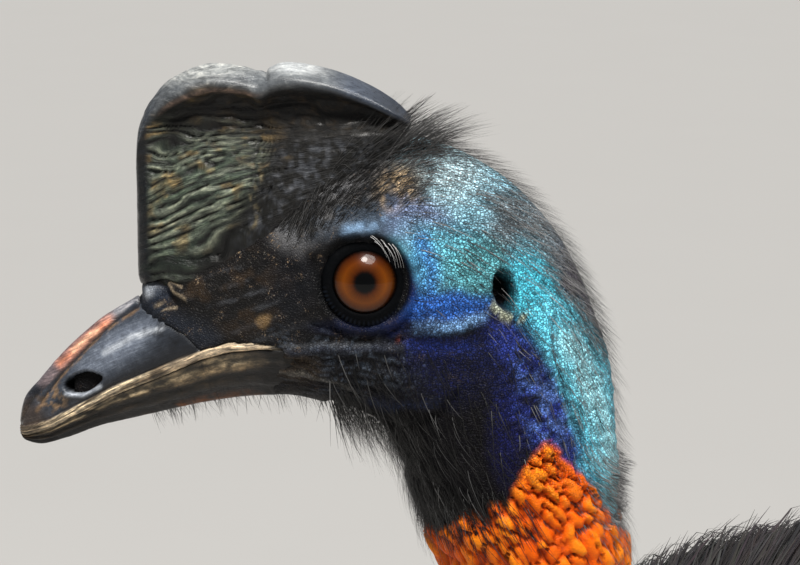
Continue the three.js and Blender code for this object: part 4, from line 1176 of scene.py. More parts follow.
def casque_relief(furrow):
    """The casque with its furrows, hollow side and rolled rim, and the fields that its paint reads."""
    around, rows = 300, 190
    t, angle = grid(np.linspace(0, 1, rows), once_round(around))
    p, height = casque_point(t, angle)
    skirt = smooth(1 - height / 0.32) * smooth((p[..., 0] + 70) / 14)
    p[..., 2] -= 10 * skirt
    p[..., 0] = np.where(p[..., 0] < -60, p[..., 0] + 1.6 * (-60 - p[..., 0]) / 16, p[..., 0])
    p[..., 2] -= 3.5 * smooth((-62 - p[..., 0]) / 12) * smooth((height - 0.5) * 2)
    px, py = profile(p)
    n = grid_normals(p)
    front = smooth((262 - px) / 12)
    lean = 0.4 * smooth((py - 125) / 70) - 0.3 * smooth((py - 225) / 40)
    u = (px - 140) / 30
    v = (py + lean * (px - 150)) / 8.8
    near = np.stack([u, 0.55 * v, 0 * u], -1)
    bend = 1.3 * (cloud(near, 1.1, 21) - 0.5) + 0.6 * (cloud(near, 0.45, 22) - 0.5)
    phase = v + bend
    valley = 1 - np.abs(np.sin(phase * math.pi)) ** 0.6
    where = smooth((px - 147) / 8) * smooth((1.05 - (px - 140) / 210) * 1.8) * smooth(
        (0.86 + 0.03 * front - height) * 9
    )
    strength = where * (0.15 + 1.3 * smooth(cloud(np.stack([0.8 * u, phase, 0 * u], -1), 0.9, 24)))
    rise = -valley * strength * furrow
    rise += 0.6 * where * (clouds(p, 3, 28) - 0.5)
    hollow = 0.745 + 0.04 * front
    below = height - hollow
    rise += -2.8 * smooth(1 - np.abs(below) / np.where(below < 0, 0.34, 0.12)) * smooth((px - 150) / 24)
    rise += 1.1 * smooth(1 - np.abs(height - 0.915) / 0.09) * smooth((px - 140) / 30)
    rise += 0.5 * (clouds(p, 7, 27) - 0.5) * (1 - smooth((height - 0.85) * 8))
    rim = smooth((height - 0.845 - 0.03 * front) * 15)
    along = height * 58 + 3.5 * clouds(p * [0.35, 1, 1], 6, 41)
    wrinkle = 1 - np.abs(np.sin(along)) ** 0.5
    rise += -0.4 * rim * front * wrinkle
    rise += -2.0 * stroke(px, py, [(261, 56), (265, 72), (270, 86)], 1.5, 4)
    return p + n * rise[..., None], p, (
        height, px, py, front, u, phase, valley, where, strength, hollow, rim, wrinkle
    )


def casque_marks(p, fields, green):
    """Colours of the casque's horn, with painted shade in the furrows, under the rim and in its wrinkles, and
    painted highlights on the crests and the rim's top; cracks, gloss and growth.
    """
    height, px, py, front, u, phase, valley, where, strength, hollow, rim, wrinkle = fields
    wander = 6 * (clouds(p, 6, 33) - 0.5) * 2
    x, y = px + wander, py + wander
    speck = fleck(p, 1.7, 43, 0.42, 3.2)
    colours = np.zeros(p.shape) + tint(26, 25, 24)
    soft = Paint(colours, x, y)
    soft.spot(green, 202, 206, 68, 74, 10, 0.4, share=0.95)
    # painted highlight along the crests between the furrows
    crest_highlight = smooth(1 - 2.6 * valley) * strength
    lay(colours, (168, 172, 154), crest_highlight * patch(x, y, 200, 190, 70, 80, 10, 0.4) * 0.32)
    ochre = (
        smooth((clouds(np.stack([1.2 * u, phase, 0 * u], -1), 1.1, 36) - 0.52) * 7)
        * fleck(p, 9, 38, 0.42, 6)
    )
    lay(colours, (146, 120, 74), ochre * patch(x, y, 204, 172, 72, 80, 15, 0.4) * 0.6)
    # upper rear of the side darker: partly the horn's own black-brown, partly painted shadow of the
    # overhanging rim
    lay(colours, (12, 11, 9), smooth((px + 0.7 * (py - 175) - 244) / 36) * 0.97)
    # painted shade in the furrows' valleys
    lay(colours, (10, 9, 8), clamp01(valley * 1.5) * where)
    # painted shadow in the hollow under the rim, partly the horn's own dark colour
    lay(colours, (6, 5, 5), smooth(1 - np.abs(height - hollow) / 0.24) * smooth((px - 158) / 22) * 0.97)
    lay(colours, (8, 11, 16), smooth((157 - px) / 9) * 0.97)
    worn = fleck(p, 2.5, 45, 0.4, 5)
    soft.line((160, 146, 112), [(263, 172), (256, 196), (262, 216), (256, 236)], 1.5, 4, worn * 0.6)
    soft.line((124, 108, 82), [(236, 158), (262, 172), (292, 160)], 1.0, 3, worn * 0.5)
    lay(
        colours, (84, 88, 96),
        speck * smooth((px + 0.5 * (py - 175) - 262) / 30) * smooth((py - 132) / 24) * 0.55
    )
    lay(colours, (36, 29, 20), speck * smooth((px - 200) / 30) * smooth((150 - py) / 24) * 0.6)
    tone = np.zeros(p.shape) + tint(92, 96, 100)
    rim_paint = Paint(tone, px, py)
    # pale top of the front lobe: partly pale horn, partly painted highlight
    rim_paint.spot((148, 151, 151), 212, 70, 62, 13, -8, 0.7)
    # painted shade in the wrinkles of the front lobe
    lay(tone, (24, 25, 28), front * wrinkle * smooth((0.97 - height) * 20) * 0.85)
    # painted highlight on the rear lobe's top
    rim_paint.spot((182, 186, 188), 294, 70, 30, 10, 6, 0.8)
    lay(tone, (58, 66, 80), smooth((px - 322) / 34) * 0.9)
    lay(tone, (32, 38, 48), smooth((px - 366) / 24) * 0.8)
    # painted shade along the underside of the rear rim
    lay(tone, (26, 30, 38), smooth((px - 286) / 24) * smooth((0.93 - height) * 26) * 0.8)
    lay(tone, (44, 50, 58), smooth((168 - px) / 16) * 0.8)
    colours += (tone - colours) * rim[..., None]
    lay(
        colours, (112, 94, 84),
        smooth(1 - np.abs(height - 0.885) / 0.025) * smooth((270 - px) / 16) * smooth((px - 160) / 14) * 0.75
    )
    soft.spot((16, 24, 19), 180, 262, 40, 8, -8, 0.5, share=0.9)
    lay(colours, (11, 10, 10), smooth((0.2 - height) * 8) * smooth((px - 185) / 30))
    crack = 0.25 * rim * (1 - front) * smooth((330 - px) / 40)
    gloss = 0.14 * rim + 0.12 * smooth((160 - px) / 10) - (1 - rim) * (
        0.14 * smooth((px - 250) / 40) + 0.22 * smooth(1 - np.abs(height - hollow) / 0.2)
    )
    flow = np.stack([u * 1.5, phase * 1.7, 0.85 + rim * (0.25 * front - 0.6)], -1)
    return colours, crack, gloss, flow


class BirdCasque(bpy.types.PropertyGroup):
    furrow_depth: FloatProperty(
        name="Furrow depth", description="Depth of the furrows on the sides of the casque", default=0.0018,
        unit="LENGTH"
    )
    horn_green: FloatVectorProperty(
        name="Horn green", description="Grey-green of the casque's sides", subtype="COLOR",
        default=tuple(tint(60, 74, 63))
    )


class CASSOWARY_OT_casque(bpy.types.Operator):
    """Makes the casque with its rolled rim, furrows and cracks"""
    bl_idname = "cassowary.casque"
    bl_label = "Casque"

    def execute(self, context):
        settings = context.scene.bird_casque
        placed, p, fields = casque_relief(settings.furrow_depth * 1000)
        colours, crack, gloss, flow = casque_marks(p, fields, settings.horn_green)
        mesh = shell(
            "casque_horn", to_room(to_bird(placed)), Markings=colours, Crack=crack, Gloss=gloss, Flow=flow
        )
        piece(
            "casque_horn", [mesh], horn_finish("casque horn", 520.0, 0.0001, 0.42, coat=0.12),
            ["casque"]
        )
        return {"FINISHED"}


# Eyes
def eye_axes(side):
    out = np.array([0, side * math.cos(EYE_TILT), math.sin(EYE_TILT)])
    ahead = np.array([1.0, 0, 0])
    return out, ahead, np.cross(out, ahead) * -side


class CASSOWARY_OT_eyes(bpy.types.Operator):
    """Makes the eyeballs and the black rings of the lids"""
    bl_idname = "cassowary.eyes"
    bl_label = "Eyes"

    def execute(self, context):
        wet = eye_finish()
        lids = []
        for name, side in (("left", -1), ("right", 1)):
            out, ahead, up = eye_axes(side)
            centre = np.array([0, side * EYE_SIDE, EYE_RISE])
            fall, turn = grid(np.linspace(0.002, math.pi - 0.02, 84), once_round(96))
            radial = ahead * np.cos(turn)[..., None] + up * np.sin(turn)[..., None]
            ball = centre + EYE_RADIUS * (out * np.cos(fall)[..., None] + radial * np.sin(fall)[..., None])
            ring = np.where(fall < math.pi / 2, EYE_RADIUS * np.sin(fall) / IRIS_RADIUS, 2.0)
            # how high each place lies on the eye, where the iris gets its painted lid shadow
            mesh = shell(
                f"eyeball_{name}", to_room(to_bird(ball)), Ring=ring,
                Upper=0.5 + 0.5 * np.sin(turn) * np.minimum(ring, 1)
            )
            piece(f"eyeball_{name}", [mesh], wet, [f"eye_{name}"])
            turn, section = grid(once_round(240), once_round(28))
            lower = clamp01(-np.sin(turn))
            thick = LID_THICKNESS + 0.6 * clamp01(np.cos(turn - 5.6)) + 0.35 * clamp01(np.sin(turn))
            ticks = 0.13 * np.sin(turn * LID_TICKS) * smooth(lower * 3) * smooth(np.cos(section) * 2)
            reach = (
                12.3 + (thick - 2.0) * 0.6 - 0.5 * clamp01(np.sin(turn)) + (thick + ticks) * np.cos(section)
            )
            high = 9.1 + 1.0 * np.sin(section) - 0.5 * np.cos(section)
            radial = ahead * np.cos(turn)[..., None] + up * np.sin(turn)[..., None]
            lid = centre + radial * reach[..., None] + out * high[..., None]
            colours = np.zeros(lid.shape) + tint(5, 6, 8)
            lay(
                colours, (24, 29, 38),
                smooth(np.sin(turn * LID_TICKS) * 2) * smooth(lower * 3) * smooth(np.cos(section) * 2) * 0.8
            )
            lay(colours, (26, 32, 60), smooth(np.cos(section) * 2 - 0.6) * clamp01(np.cos(turn)) * 0.7)
            lids.append(woven(f"lid_{name}", to_room(to_bird(lid)), True, Markings=colours))
        lid_skin = horn_finish("eyelid skin", 900.0, 0.00005, 0.55, shine=0.04)
        piece("eyelids", lids, lid_skin)
        return {"FINISHED"}


# Hair of the head and neck
def surface_strands(
    draw, surface, t, angle, run, drift, lift, sunk, rise, wide, stations=5, wander=0.05, taper=1.0,
    curve=0.8, spread=0.5, lie=0.0
):
    """Paths of strands over a surface, from their sunk roots to their risen tips."""
    count = len(t)
    vary = lambda amount: 1 + amount * (2 * draw.random(count) - 1)
    s = np.linspace(0, 1, stations)[None]
    at = t[:, None] + (run * vary(0.3))[:, None] * s
    bend = (wander * draw.standard_normal(count))[:, None]
    turn = angle[:, None] + (drift * vary(0.35))[:, None] * s + bend * s**2
    high = -sunk + (sunk + lift + (rise * vary(spread))[:, None]) * s**curve * (1 - lie * s**2)
    paths = surface(at, turn, high)
    facing = unit(surface(at, turn, high + 1.0) - paths)
    half = (wide * vary(0.35))[:, None] * (1 - s**2 * 0.92 * taper)
    half = half * np.minimum(1, 0.35 + 3 * s)
    return paths, facing, half


def hair_cover(px, py, s, angle):
    """How thickly hair grows at a place of the head and neck."""
    top = smooth((np.abs(np.sin(angle / 2)) - 0.7) * 3)
    crown = stroke(px, py, [(400, 110), (470, 128), (540, 200), (580, 270), (596, 310)], 34, 26)
    crown = np.maximum(
        crown, 0.7 * stroke(px, py, [(594, 300), (609, 350), (617, 430), (624, 500), (632, 600)], 9, 9)
    )
    bare = patch(px, py, 440, 290, 50, 60, 0, 0.4) + patch(px, py, 530, 290, 26, 44, 0, 0.4) + patch(
        px, py, 366, 283, 60, 60, 0, 0.2
    )
    cover = crown + 0.42 * patch(px, py, 470, 190, 84, 72, 40, 0.5) + 0.04 * patch(
        px, py, 560, 400, 60, 130, -15, 0.5
    )
    cover = cover * (1 - 0.9 * clamp01(bare)) * (px > 285) * (s < 1.62)
    return np.maximum(cover, 0.5 * top * (px > 395) * (s < 1.3))


def on_head(s, a, lift):
    """A place over the skin of head and neck, in the room."""
    swell = hind_swell(*profile(skin_point(s, a)))
    return to_room(to_bird(skin_point(s, a, lift + swell)))


def head_map(s, a):
    return np.stack([a / (2 * math.pi) % 1, s / 2], -1)


def crown_hair(draw, finish, count):
    """Fine hair of the crown, nape and hind neck."""
    s = draw.uniform(0.5, 1.62, count)
    a = draw.uniform(0, 2 * math.pi, count)
    px, py = profile(skin_point(s, a))
    keep = draw.random(count) < hair_cover(px, py, s, a)
    s, a, px, py = s[keep], a[keep], px[keep], py[keep]
    top = smooth((np.abs(np.sin(a / 2)) - 0.86) * 9)
    run = np.where(s < 1, 0.027, 0.06)
    paths, facing, half = surface_strands(
        draw, on_head, s, a, run, 0.02 * np.sin(a), 0.4, 0.3, 1.0 + 3.2 * top, 0.12, 4, 0.03, curve=1.0
    )
    grey = np.where(draw.random(len(s)) < 0.24 + 0.42 * smooth((px - 480) / 60), 0.16, 0.008)
    strands(
        "hair_crown", paths, facing, half * MM, head_map(s, a), grey * draw.uniform(0.5, 1.3, len(s)),
        finish
    )


def brow_stubble(draw, finish):
    """Stubble between the casque and the brow."""
    s = draw.uniform(0.44, 0.64, STUBBLE)
    a = draw.uniform(0.5, 0.95, STUBBLE) * math.pi * np.where(draw.random(STUBBLE) < 0.5, 1, -1)
    px, py = profile(skin_point(s, a))
    keep = draw.random(len(s)) < np.maximum(
        stroke(px, py, [(300, 215), (350, 188), (400, 140)], 26, 14),
        0.8 * patch(px, py, 430, 170, 40, 50, 30, 0.4)
    )
    s, a = s[keep], a[keep]
    paths, facing, half = surface_strands(
        draw, on_head, s, a, np.full(len(s), 0.011), 0.1 * np.sin(a), 0.4, 0.3, np.full(len(s), 1.1), 0.1,
        4, 0.05, curve=1.1
    )
    strands(
        "hair_stubble", paths, facing, half * MM, head_map(s, a), 0.01 + 0.1 * (draw.random(len(s)) < 0.15),
        finish
    )


def casque_tuft(draw, finish):
    """The tuft behind the casque."""
    count = TUFT_HAIRS
    s = draw.uniform(0.555, 0.64, count)
    a = math.pi + draw.normal(0, 0.22, count)
    paths, facing, half = surface_strands(
        draw, on_head, s, a, np.full(count, 0.03), 0.12 * draw.standard_normal(count), 2.0, 0.5,
        np.full(count, 9.0), 0.15, 5, 0.08, curve=1.0
    )
    strands(
        "hair_tuft", paths, facing, half * MM, head_map(s, a), 0.01 + 0.05 * draw.random(count), finish,
    )


def throat_hair(draw, finish, count):
    """Bristles of the throat, cheeks and jaw."""
    s = np.concatenate([draw.uniform(0.56, 0.99, count // 2), draw.uniform(1.0, 1.12, count - count // 2)])
    a = draw.normal(0, 0.75, count)
    px, py = profile(skin_point(s, a))
    keep = (py > 345) & (px > 300) & (px < 530) & (draw.random(count) < 0.9)
    s, a = s[keep], a[keep]
    paths = on_head(s, a, 0.0)
    out = unit(on_head(s, a, 1.0) - paths)
    long = draw.uniform(6, 20, len(s))[:, None, None] * MM
    k = np.linspace(0, 1, 6)[None, :, None]
    fall = np.array([0.52 * math.cos(HEAD_TURN), 0.52 * math.sin(HEAD_TURN), -0.85])
    lean = unit(fall + 0.18 * draw.standard_normal((len(s), 3)))[:, None]
    paths = paths[:, None] + long * (0.55 * k * (1 - 0.6 * k) * out[:, None] + k**1.3 * lean)
    half = (0.00013 * (1 - 0.85 * k[..., 0] ** 2)) * np.ones((len(s), 1))
    grey = np.where(draw.random(len(s)) < 0.1, 0.1, 0.004)
    strands(
        "hair_throat", paths, np.repeat(out[:, None], 6, 1), half, head_map(s, a),
        grey * draw.uniform(0.5, 1.2, len(s)), finish
    )


def jaw_bristles(draw, finish):
    """Bristles under the bill and jaw."""
    count = JAW_BRISTLES
    k = np.linspace(0, 1, 6)[None, :, None]
    s = draw.uniform(0.33, 0.56, count)
    a = draw.normal(0, 0.55, count)
    paths = on_head(s, a, -0.4)
    out = unit(on_head(s, a, 1.0) - paths)
    long = draw.uniform(2.5, 6.5, count)[:, None, None] * MM
    lean = unit(np.array([0.5, 0.2, -0.75]) + 0.25 * draw.standard_normal((count, 3)))[:, None]
    paths = paths[:, None] + long * (0.3 * k * out[:, None] + k * lean)
    half = 0.00012 * (1 - 0.8 * k[..., 0]) * np.ones((count, 1))
    strands(
        "hair_jaw", paths, np.repeat(out[:, None], 6, 1), half, head_map(s, a),
        0.008 + 0.02 * draw.random(count), finish
    )


def eye_lashes(draw, finish):
    """Pale lashes over the eye."""
    paths, facing = [], []
    for side in (-1, 1):
        for n in range(9):
            f = n / 8
            jog = draw.normal(0, 1.2, 4)
            root = on_side(372 + 22 * f + jog[0], 239 + 8 * f + jog[1], 27.8, side)
            tip = on_side(384 + 22 * f + 1.5 * jog[2], 257 + 13 * f + 2 * jog[3], 29.4, side)
            bend = on_side(381 + 20 * f, 245 + 8 * f + jog[1], 30.0, side)
            k = np.linspace(0, 1, 6)[:, None]
            paths.append(root * (1 - k) ** 2 + bend * 2 * k * (1 - k) + tip * k**2)
            facing.append(np.tile([0, float(side), 0.3], (6, 1)))
    paths = to_room(to_bird(np.array(paths)))
    facing = to_bird(np.array(facing)) - EYE_MIDDLE
    half = np.full(paths.shape[:2], 0.00009) * np.linspace(1, 0.3, 6)
    strands(
        "lashes", paths, unit(facing), half, draw.uniform(0.4, 0.6, (len(paths), 2)),
        np.full(len(paths), 0.42), finish
    )


class BirdHair(bpy.types.PropertyGroup):
    head_hairs: IntProperty(
        name="Head hairs", description="Hairs drawn for the crown, nape and hind neck", default=42000,
        min=100
    )
    throat_hairs: IntProperty(
        name="Throat hairs", description="Hairs drawn for the throat and cheeks", default=3600, min=100
    )


class CASSOWARY_OT_hair(bpy.types.Operator):
    """Makes the fine hair of the crown and nape, the bristles of throat and jaw, and the lashes"""
    bl_idname = "cassowary.hair"
    bl_label = "Hair"

    def execute(self, context):
        settings = context.scene.bird_hair
        draw = np.random.default_rng(HAIR_SEED)
        finish = coat_finish("fine hair", 0.42, 0.35)
        crown_hair(draw, finish, settings.head_hairs)
        brow_stubble(draw, finish)
        casque_tuft(draw, finish)
        throat_hair(draw, finish, settings.throat_hairs)
        jaw_bristles(draw, finish)
        eye_lashes(draw, finish)
        return {"FINISHED"}


# Legs
def tube_of(line, size, rows, around, floor=None, plates=0, plate_rise=1.3):
    """Points of a tapering tube along a line, with raised plates on its upper side."""
    t, a = grid(np.linspace(0, 1, rows), once_round(around))
    forward = unit(line(np.minimum(t + 0.01, 1)) - line(np.maximum(t - 0.01, 0)))
    across = unit(np.stack([forward[..., 1], -forward[..., 0], 0 * t], -1))
    up = np.cross(across, forward)
    wide, tall = split(size(t))
    if plates:
        saw = (t * plates) % 1
        tall = tall + plate_rise * clamp01(2 * np.cos(a)) * smooth(saw * 1.1) * (
            1 - smooth((saw - 0.9) * 10)
        )
    p = line(t) + across * (wide * np.sin(a))[..., None] + up * (tall * np.cos(a))[..., None]
    if floor is not None:
        p[..., 2] = np.maximum(p[..., 2], floor)
    return p


def toe_line(side, aim, ends):
    a = math.radians(aim) * side
    return track([[side * FOOT_APART + math.sin(a) * d, FOOT_Y - math.cos(a) * d, z] for d, z in ends])


def toe_shapes(side, aim, long, size, claw):
    span = long - 8
    body = toe_line(
        side, aim,
        [(8, size * 1.05), (8 + span * 0.35, size * 0.95), (8 + span * 0.7, size * 0.84), (long, size * 0.72)]
    )
    widths = track(
        [
            [size * w, size * h] for w,
            h in [[1, 1.15], [0.84, 0.98], [1.02, 1], [0.78, 0.84], [0.9, 0.86], [0.62, 0.68]]
        ]
    )
    thick = size * 0.6
    start = long - 5
    nail = toe_line(
        side, aim, [(start, size * 0.7), (start + claw * 0.5, size * 0.8), (start + claw, size * 0.36)]
    )
    nails = track([[thick * w, thick * h] for w, h in [[1, 1], [0.8, 0.85], [0.5, 0.55], [0.12, 0.14]]])
    return body, widths, nail, nails


class BirdLegs(bpy.types.PropertyGroup):
    scale_colour: FloatVectorProperty(
        name="Scale colour", description="Grey-brown of the scutes of the feet", subtype="COLOR",
        default=tuple(tint(122, 112, 96))
    )
    scutes: IntProperty(
        name="Scutes", description="Broad plates down the front of each tarsus", default=24, min=3
    )


class CASSOWARY_OT_legs(bpy.types.Operator):
    """Makes the legs with their scutes, the toes and the claws"""
    bl_idname = "cassowary.legs"
    bl_label = "Legs and claws"

    def execute(self, context):
        settings = context.scene.bird_legs
        scales = scale_finish("leg scales", tuple(settings.scale_colour), tuple(tint(44, 38, 32)), 190.0)
        nails = horn_finish("claw horn", 260.0, 0.0001, 0.3, coat=0.2)
        for name, side in SIDES:
            line = leg_track(side)
            t, a = grid(
                np.concatenate([np.linspace(0.01, 0.34, 14, endpoint=False), np.linspace(0.34, 1.0, 260)]),
                once_round(64)
            )
            lower = clamp01((t - LEG_CUTS[2]) / (1 - LEG_CUTS[2]))
            saw = (lower * settings.scutes) % 1
            front = clamp01(2 * np.cos(a) + 0.1)
            rise = 1.7 * front * smooth(saw * 1.15) * (1 - smooth((saw - 0.9) * 10)) * (lower > 0)
            rise = rise - 9 * clamp01((LEG_CUTS[1] - t) * 14)
            first, second, _ = pebbles(leg_point(line, t, a), 9, 120)
            rise = (
                rise + 0.7 * (smooth((second - first) * 2) - 0.6) * (1 - front * (lower > 0)) * (t > 0.33)
            )
            shapes = [shell("leg", to_room(leg_point(line, t, a, rise)))]
            ball = toe_ball(side)
            shapes.append(shell("foot", to_room(ball)))
            claws = []
            for toe, aim, long, size, claw, plates in TOES:
                body, widths, nail, sizes = toe_shapes(side, aim, long, size, claw)
                shapes.append(shell("toe", to_room(tube_of(body, widths, 96, 40, 0.0, plates))))
                points = tube_of(nail, sizes, 44, 30, 0.0)
                streak = clouds(points * [1, 0.4, 1], 5, 130)
                colours = np.zeros(points.shape) + tint(46, 40, 36)
                lay(colours, (92, 84, 72), smooth((streak - 0.5) * 5) * 0.6)
                claws.append((toe, shell(f"claw_horn_{toe}_{name}", to_room(points), Markings=colours)))
            replaced = [
                f"{part}_{name}"
                for part in ("thigh", "shank", "tarsus", "toe_middle", "toe_outer", "toe_inner")
            ]
            piece(f"leg_skin_{name}", shapes, scales, replaced)
            for toe, mesh in claws:
                piece(f"claw_horn_{toe}_{name}", [mesh], nails, [f"claw_{toe}_{name}"])
        return {"FINISHED"}


def toe_ball(side):
    fall, turn = grid(np.linspace(0.02, math.pi - 0.02, 40), once_round(64))
    p = np.stack(
        [np.sin(fall) * np.cos(turn) * 31, np.sin(fall) * np.sin(turn) * 32.5, np.cos(fall) * 29.5], -1
    )
    p = p + np.array([side * FOOT_APART, FOOT_Y, BALL_HIGH])
    p[..., 2] = np.maximum(p[..., 2], 0)
    return p


# Plumage
class BirdPlumage(bpy.types.PropertyGroup):
    density: FloatProperty(
        name="Density", description="Share of the plumage's strands that are made", default=1.0, min=0.05,
        max=1.0
    )
    colour: FloatVectorProperty(
        name="Plumage colour", description="Brown-black of the plumage", subtype="COLOR",
        default=(0.014, 0.012, 0.013)
    )


COAT_REGIONS = [
    # name, strands, t from and to, angle from and to as shares of pi, run, droop, rise
    ("coat_back", 8500, 0.12, 0.86, 0.80, 1.20, 0.20, 0.35, 22),
    ("coat_flank_left", 8700, 0.10, 0.88, 0.40, 0.82, 0.21, 0.5, 23),
    ("coat_flank_right", 8700, 0.10, 0.88, 1.18, 1.60, 0.21, 0.5, 23),
    ("coat_belly", 4600, 0.14, 0.84, -0.40, 0.40, 0.19, 0.35, 20),
    ("coat_breast", 4600, 0.03, 0.24, 0.0, 2.0, 0.17, 0.45, 20),
    ("coat_rump", 8400, 0.80, 0.935, 0.30, 1.70, 0.17, 0.3, 18),
]


def wing_quills():
    """The stub of each wing with its four bare quills."""
    quills = horn_finish("quill", 300.0, 0.00008, 0.3, coat=0.3)
    for name, side in SIDES:
        at = lambda t, fall, lift: torso_point(np.array(t), np.array(side * (0.58 * math.pi - fall)), lift)
        stub = track([at(0.38, 0, -10), at(0.4, 0.02, 8), at(0.42, 0.05, 20), at(0.44, 0.07, 31)])
        shapes = [tube_of(stub, track([[13, 17], [11, 13], [8, 9], [5, 5]]), 30, 32)]
        for k in range(4):
            line = track(
                [
                    at(0.435, 0.06, 35), at(0.49, 0.08 + 0.03 * k, 42),
                    at(0.55 - 0.004 * k, 0.14 + 0.075 * k, 45), at(0.61 - 0.01 * k, 0.22 + 0.12 * k, 43)
                ]
            )
            shapes.append(tube_of(line, track([[2.8, 2.8], [2.8, 2.8], [2.2, 2.2], [0.8, 0.8]]), 60, 16))
        meshes = [shell("quill", to_room(p), Markings=np.zeros(p.shape) + tint(30, 27, 25)) for p in shapes]
        piece(f"wing_quills_{name}", meshes, quills, [f"wing_{name}"])


class CASSOWARY_OT_plumage(bpy.types.Operator):
    """Makes the long hair-like plumage of body, neck base and thighs"""
    bl_idname = "cassowary.plumage"
    bl_label = "Plumage"

    def execute(self, context):
        settings = context.scene.bird_plumage
        finish = coat_finish("plumage", 0.42, 0.3)
        base = np.array(settings.colour)
        draw = np.random.default_rng(PLUMAGE_SEED)

        def grow(name, surface, t, a, run, drift, rise, wide, unwrap, stations=6, wander=0.06):
            spots = np.stack([t * 34, a * 8, 0 * t], -1)
            tuft = cloud(spots, 1.0, 140)
            drift = drift + 0.16 * (cloud(spots, 1.4, 141) - 0.5)
            paths, facing, half = surface_strands(
                draw, surface, t, a, run, drift, 1.5, 7.0, rise * (0.55 + 0.75 * tuft), wide, stations,
                wander, curve=0.75, spread=0.34, lie=0.16
            )
            tone = base * draw.uniform(0.35, 2.1, (len(t), 1)) * (0.5 + 1.0 * tuft)[:, None] * (
                1 + 0.12 * draw.standard_normal((len(t), 3))
            )
            strands(name, to_room(paths), facing, half * MM, unwrap(t, a), clamp01(tone), finish)

        for name, count, t0, t1, a0, a1, run, droop, rise in COAT_REGIONS:
            count = int(count * settings.density)
            t = draw.uniform(t0, t1, count)
            a = draw.uniform(a0, a1, count) * math.pi
            unwrap = lambda t, a: np.stack([0.5 * (a / (2 * math.pi) % 1), 0.5 * t], -1)
            grow(
                name, torso_point, t, a, np.full(count, run), -droop * np.sin(a),
                np.full(count, float(rise)), 1.0, unwrap
            )
        count = int(NECK_STRANDS * settings.density)
        t = draw.uniform(0.615, 0.97, count)
        a = draw.uniform(0, 2 * math.pi, count)
        rise = np.where(t < 0.68, 3.5, 8.0)
        around_neck = lambda t, a, lift: neck_point(
            t, a, lift - 9 * clamp01((t - 0.62) * 14) * clamp01((1 - t) * 20)
        )
        grow("coat_neck", around_neck, t, a, np.full(count, 0.13), np.zeros(count), rise, 0.9,
             lambda t, a: np.stack([0.5 + 0.25 * (a / (2 * math.pi) % 1), 0.5 * t], -1))
        for name, side in SIDES:
            line = leg_track(side)
            thigh = lambda t, a, lift: leg_point(line, t, a, lift - 9 * clamp01((LEG_CUTS[1] - t) * 14))
            count = int(THIGH_STRANDS * settings.density)
            t = draw.uniform(0.03, 0.285, count)
            a = draw.uniform(0, 2 * math.pi, count)
            shift = 0.5 if side > 0 else 0.0
            still = np.zeros(count)
            grow(f"coat_thigh_{name}", thigh, t, a, still + 0.09, still, still + 8.0, 1.0,
                 lambda t, a: np.stack([0.75 + 0.25 * (a / (2 * math.pi) % 1), 0.5 * t + shift], -1))
        wing_quills()
        return {"FINISHED"}


# The stage
class BirdStage(bpy.types.PropertyGroup):
    floor_colour: FloatVectorProperty(
        name="Floor colour", description="Pale colour of the floor", subtype="COLOR",
        default=(0.6, 0.59, 0.57)
    )
    camera_distance: FloatProperty(
        name="Camera distance", description="From the camera to the middle of the head", default=0.9,
        unit="LENGTH"
    )
    key_power: FloatProperty(name="Key light", description="Power of the main light in watts", default=17.0)
    overhead: FloatProperty(
        name="Overhead light", description="Strength of the soft light from above", default=3.1
    )


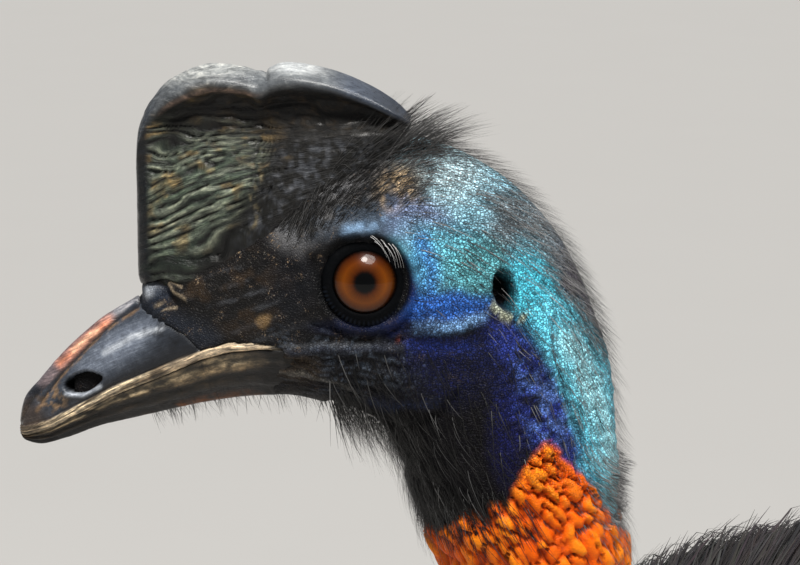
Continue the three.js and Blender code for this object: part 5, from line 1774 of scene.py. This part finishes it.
class CASSOWARY_OT_stage(bpy.types.Operator):
    """Sets the floor, the soft lights and the camera"""
    bl_idname = "cassowary.stage"
    bl_label = "Stage"

    def execute(self, context):
        settings = context.scene.bird_stage
        mesh = bpy.data.meshes.new("floor")
        bm = bmesh.new()
        bmesh.ops.create_grid(bm, x_segments=4, y_segments=4, size=40)
        bm.to_mesh(mesh)
        bm.free()
        mesh.materials.append(floor_finish(tuple(settings.floor_colour)))
        floor = bpy.data.objects.new("floor", mesh)
        context.scene.collection.objects.link(floor)
        world = bpy.data.worlds.new("studio")
        context.scene.world = world
        world.use_nodes = True
        back = world.node_tree.nodes["Background"]
        back.inputs["Color"].default_value = (0.93, 0.95, 1.0, 1)
        back.inputs["Strength"].default_value = 0.15
        right = np.array([math.cos(HEAD_TURN), math.sin(HEAD_TURN), 0])
        toward = np.array([math.sin(HEAD_TURN), -math.cos(HEAD_TURN), 0])
        middle = to_room(EYE_MIDDLE)
        up = np.array([0, 0, 1.0])

        def light(name, offset, size, power, colour):
            data = bpy.data.lights.new(name, "AREA")
            data.shape, data.size, data.energy, data.color = "DISK", size, power, colour
            lamp = bpy.data.objects.new(name, data)
            lamp.location = middle + right * offset[0] + toward * offset[1] + up * offset[2]
            lamp.rotation_euler = (Vector(middle) - lamp.location).to_track_quat("-Z", "Y").to_euler()
            context.scene.collection.objects.link(lamp)
            return data

        light("key", (-0.06, 0.62, 1.4), 0.4, settings.key_power, (1.0, 0.97, 0.92))
        light("rim", (0.9, -0.7, 1.3), 0.8, settings.key_power, (1.0, 0.98, 0.95)).specular_factor = 0.2
        sky = bpy.data.lights.new("overhead", "SUN")
        sky.energy, sky.angle, sky.color = settings.overhead, math.radians(30), (1.0, 0.98, 0.95)
        sky.specular_factor = 0.35
        lamp = bpy.data.objects.new("overhead", sky)
        lamp.rotation_euler = Vector(
            right * 0.15 + toward * 0.36 + up * 0.9
        ).to_track_quat("Z", "Y").to_euler()
        context.scene.collection.objects.link(lamp)
        camera = bpy.data.cameras.new("camera")
        seen = bpy.data.objects.new("camera", camera)
        distance = settings.camera_distance
        unit_size = MM / UNITS_PER_MM
        away = toward * math.cos(VIEW_TILT) + up * math.sin(VIEW_TILT)
        over = np.cross(away, right)
        width = PICTURE[0] * unit_size
        aside, above = PICTURE[0] / 2 - EYE_SPOT[0], EYE_SPOT[1] - PICTURE[1] / 2
        target = middle + (right * aside + over * above) * unit_size
        seen.location = target + away * distance
        seen.rotation_euler = (Vector(target) - seen.location).to_track_quat("-Z", "Y").to_euler()
        camera.sensor_width = FILM
        camera.lens = FILM * distance / width
        camera.clip_start, camera.clip_end = 0.05, 200
        context.scene.collection.objects.link(seen)
        context.scene.camera = seen
        context.scene.view_settings.view_transform = "Standard"
        return {"FINISHED"}


class CASSOWARY_PT_pieces(bpy.types.Panel):
    """Lists the pieces of the cassowary"""
    bl_idname = "CASSOWARY_PT_pieces"
    bl_label = "Cassowary"
    bl_space_type = "VIEW_3D"
    bl_region_type = "UI"
    bl_category = "Cassowary"

    def draw(self, context):
        for group, keys in SETTINGS.items():
            box = self.layout.box()
            for key in keys[1]:
                box.prop(getattr(context.scene, group), key)
        for name in PIECES:
            self.layout.operator(f"cassowary.{name}")


SETTINGS = {
    "bird_skin": (BirdSkin, ["knob_height"]),
    "bird_casque": (BirdCasque, ["furrow_depth", "horn_green"]),
    "bird_hair": (BirdHair, ["head_hairs", "throat_hairs"]),
    "bird_legs": (BirdLegs, ["scale_colour", "scutes"]),
    "bird_plumage": (BirdPlumage, ["density", "colour"]),
    "bird_stage": (BirdStage, ["floor_colour", "camera_distance", "key_power", "overhead"]),
}
PIECES = ["skin", "bill", "casque", "eyes", "hair", "legs", "plumage", "stage"]
CLASSES = [group for group, _ in SETTINGS.values()] + [
    CASSOWARY_OT_skin, CASSOWARY_OT_bill, CASSOWARY_OT_casque, CASSOWARY_OT_eyes, CASSOWARY_OT_hair,
    CASSOWARY_OT_legs, CASSOWARY_OT_plumage, CASSOWARY_OT_stage, CASSOWARY_PT_pieces,
]


def register():
    for cls in CLASSES:
        bpy.utils.register_class(cls)
    for name, (group, _) in SETTINGS.items():
        setattr(bpy.types.Scene, name, PointerProperty(type=group))


def unregister():
    for name in SETTINGS:
        delattr(bpy.types.Scene, name)
    for cls in reversed(CLASSES):
        bpy.utils.unregister_class(cls)


def main():
    register()
    for name in PIECES:
        getattr(bpy.ops.cassowary, name)()


if __name__ == "__main__":
    main()
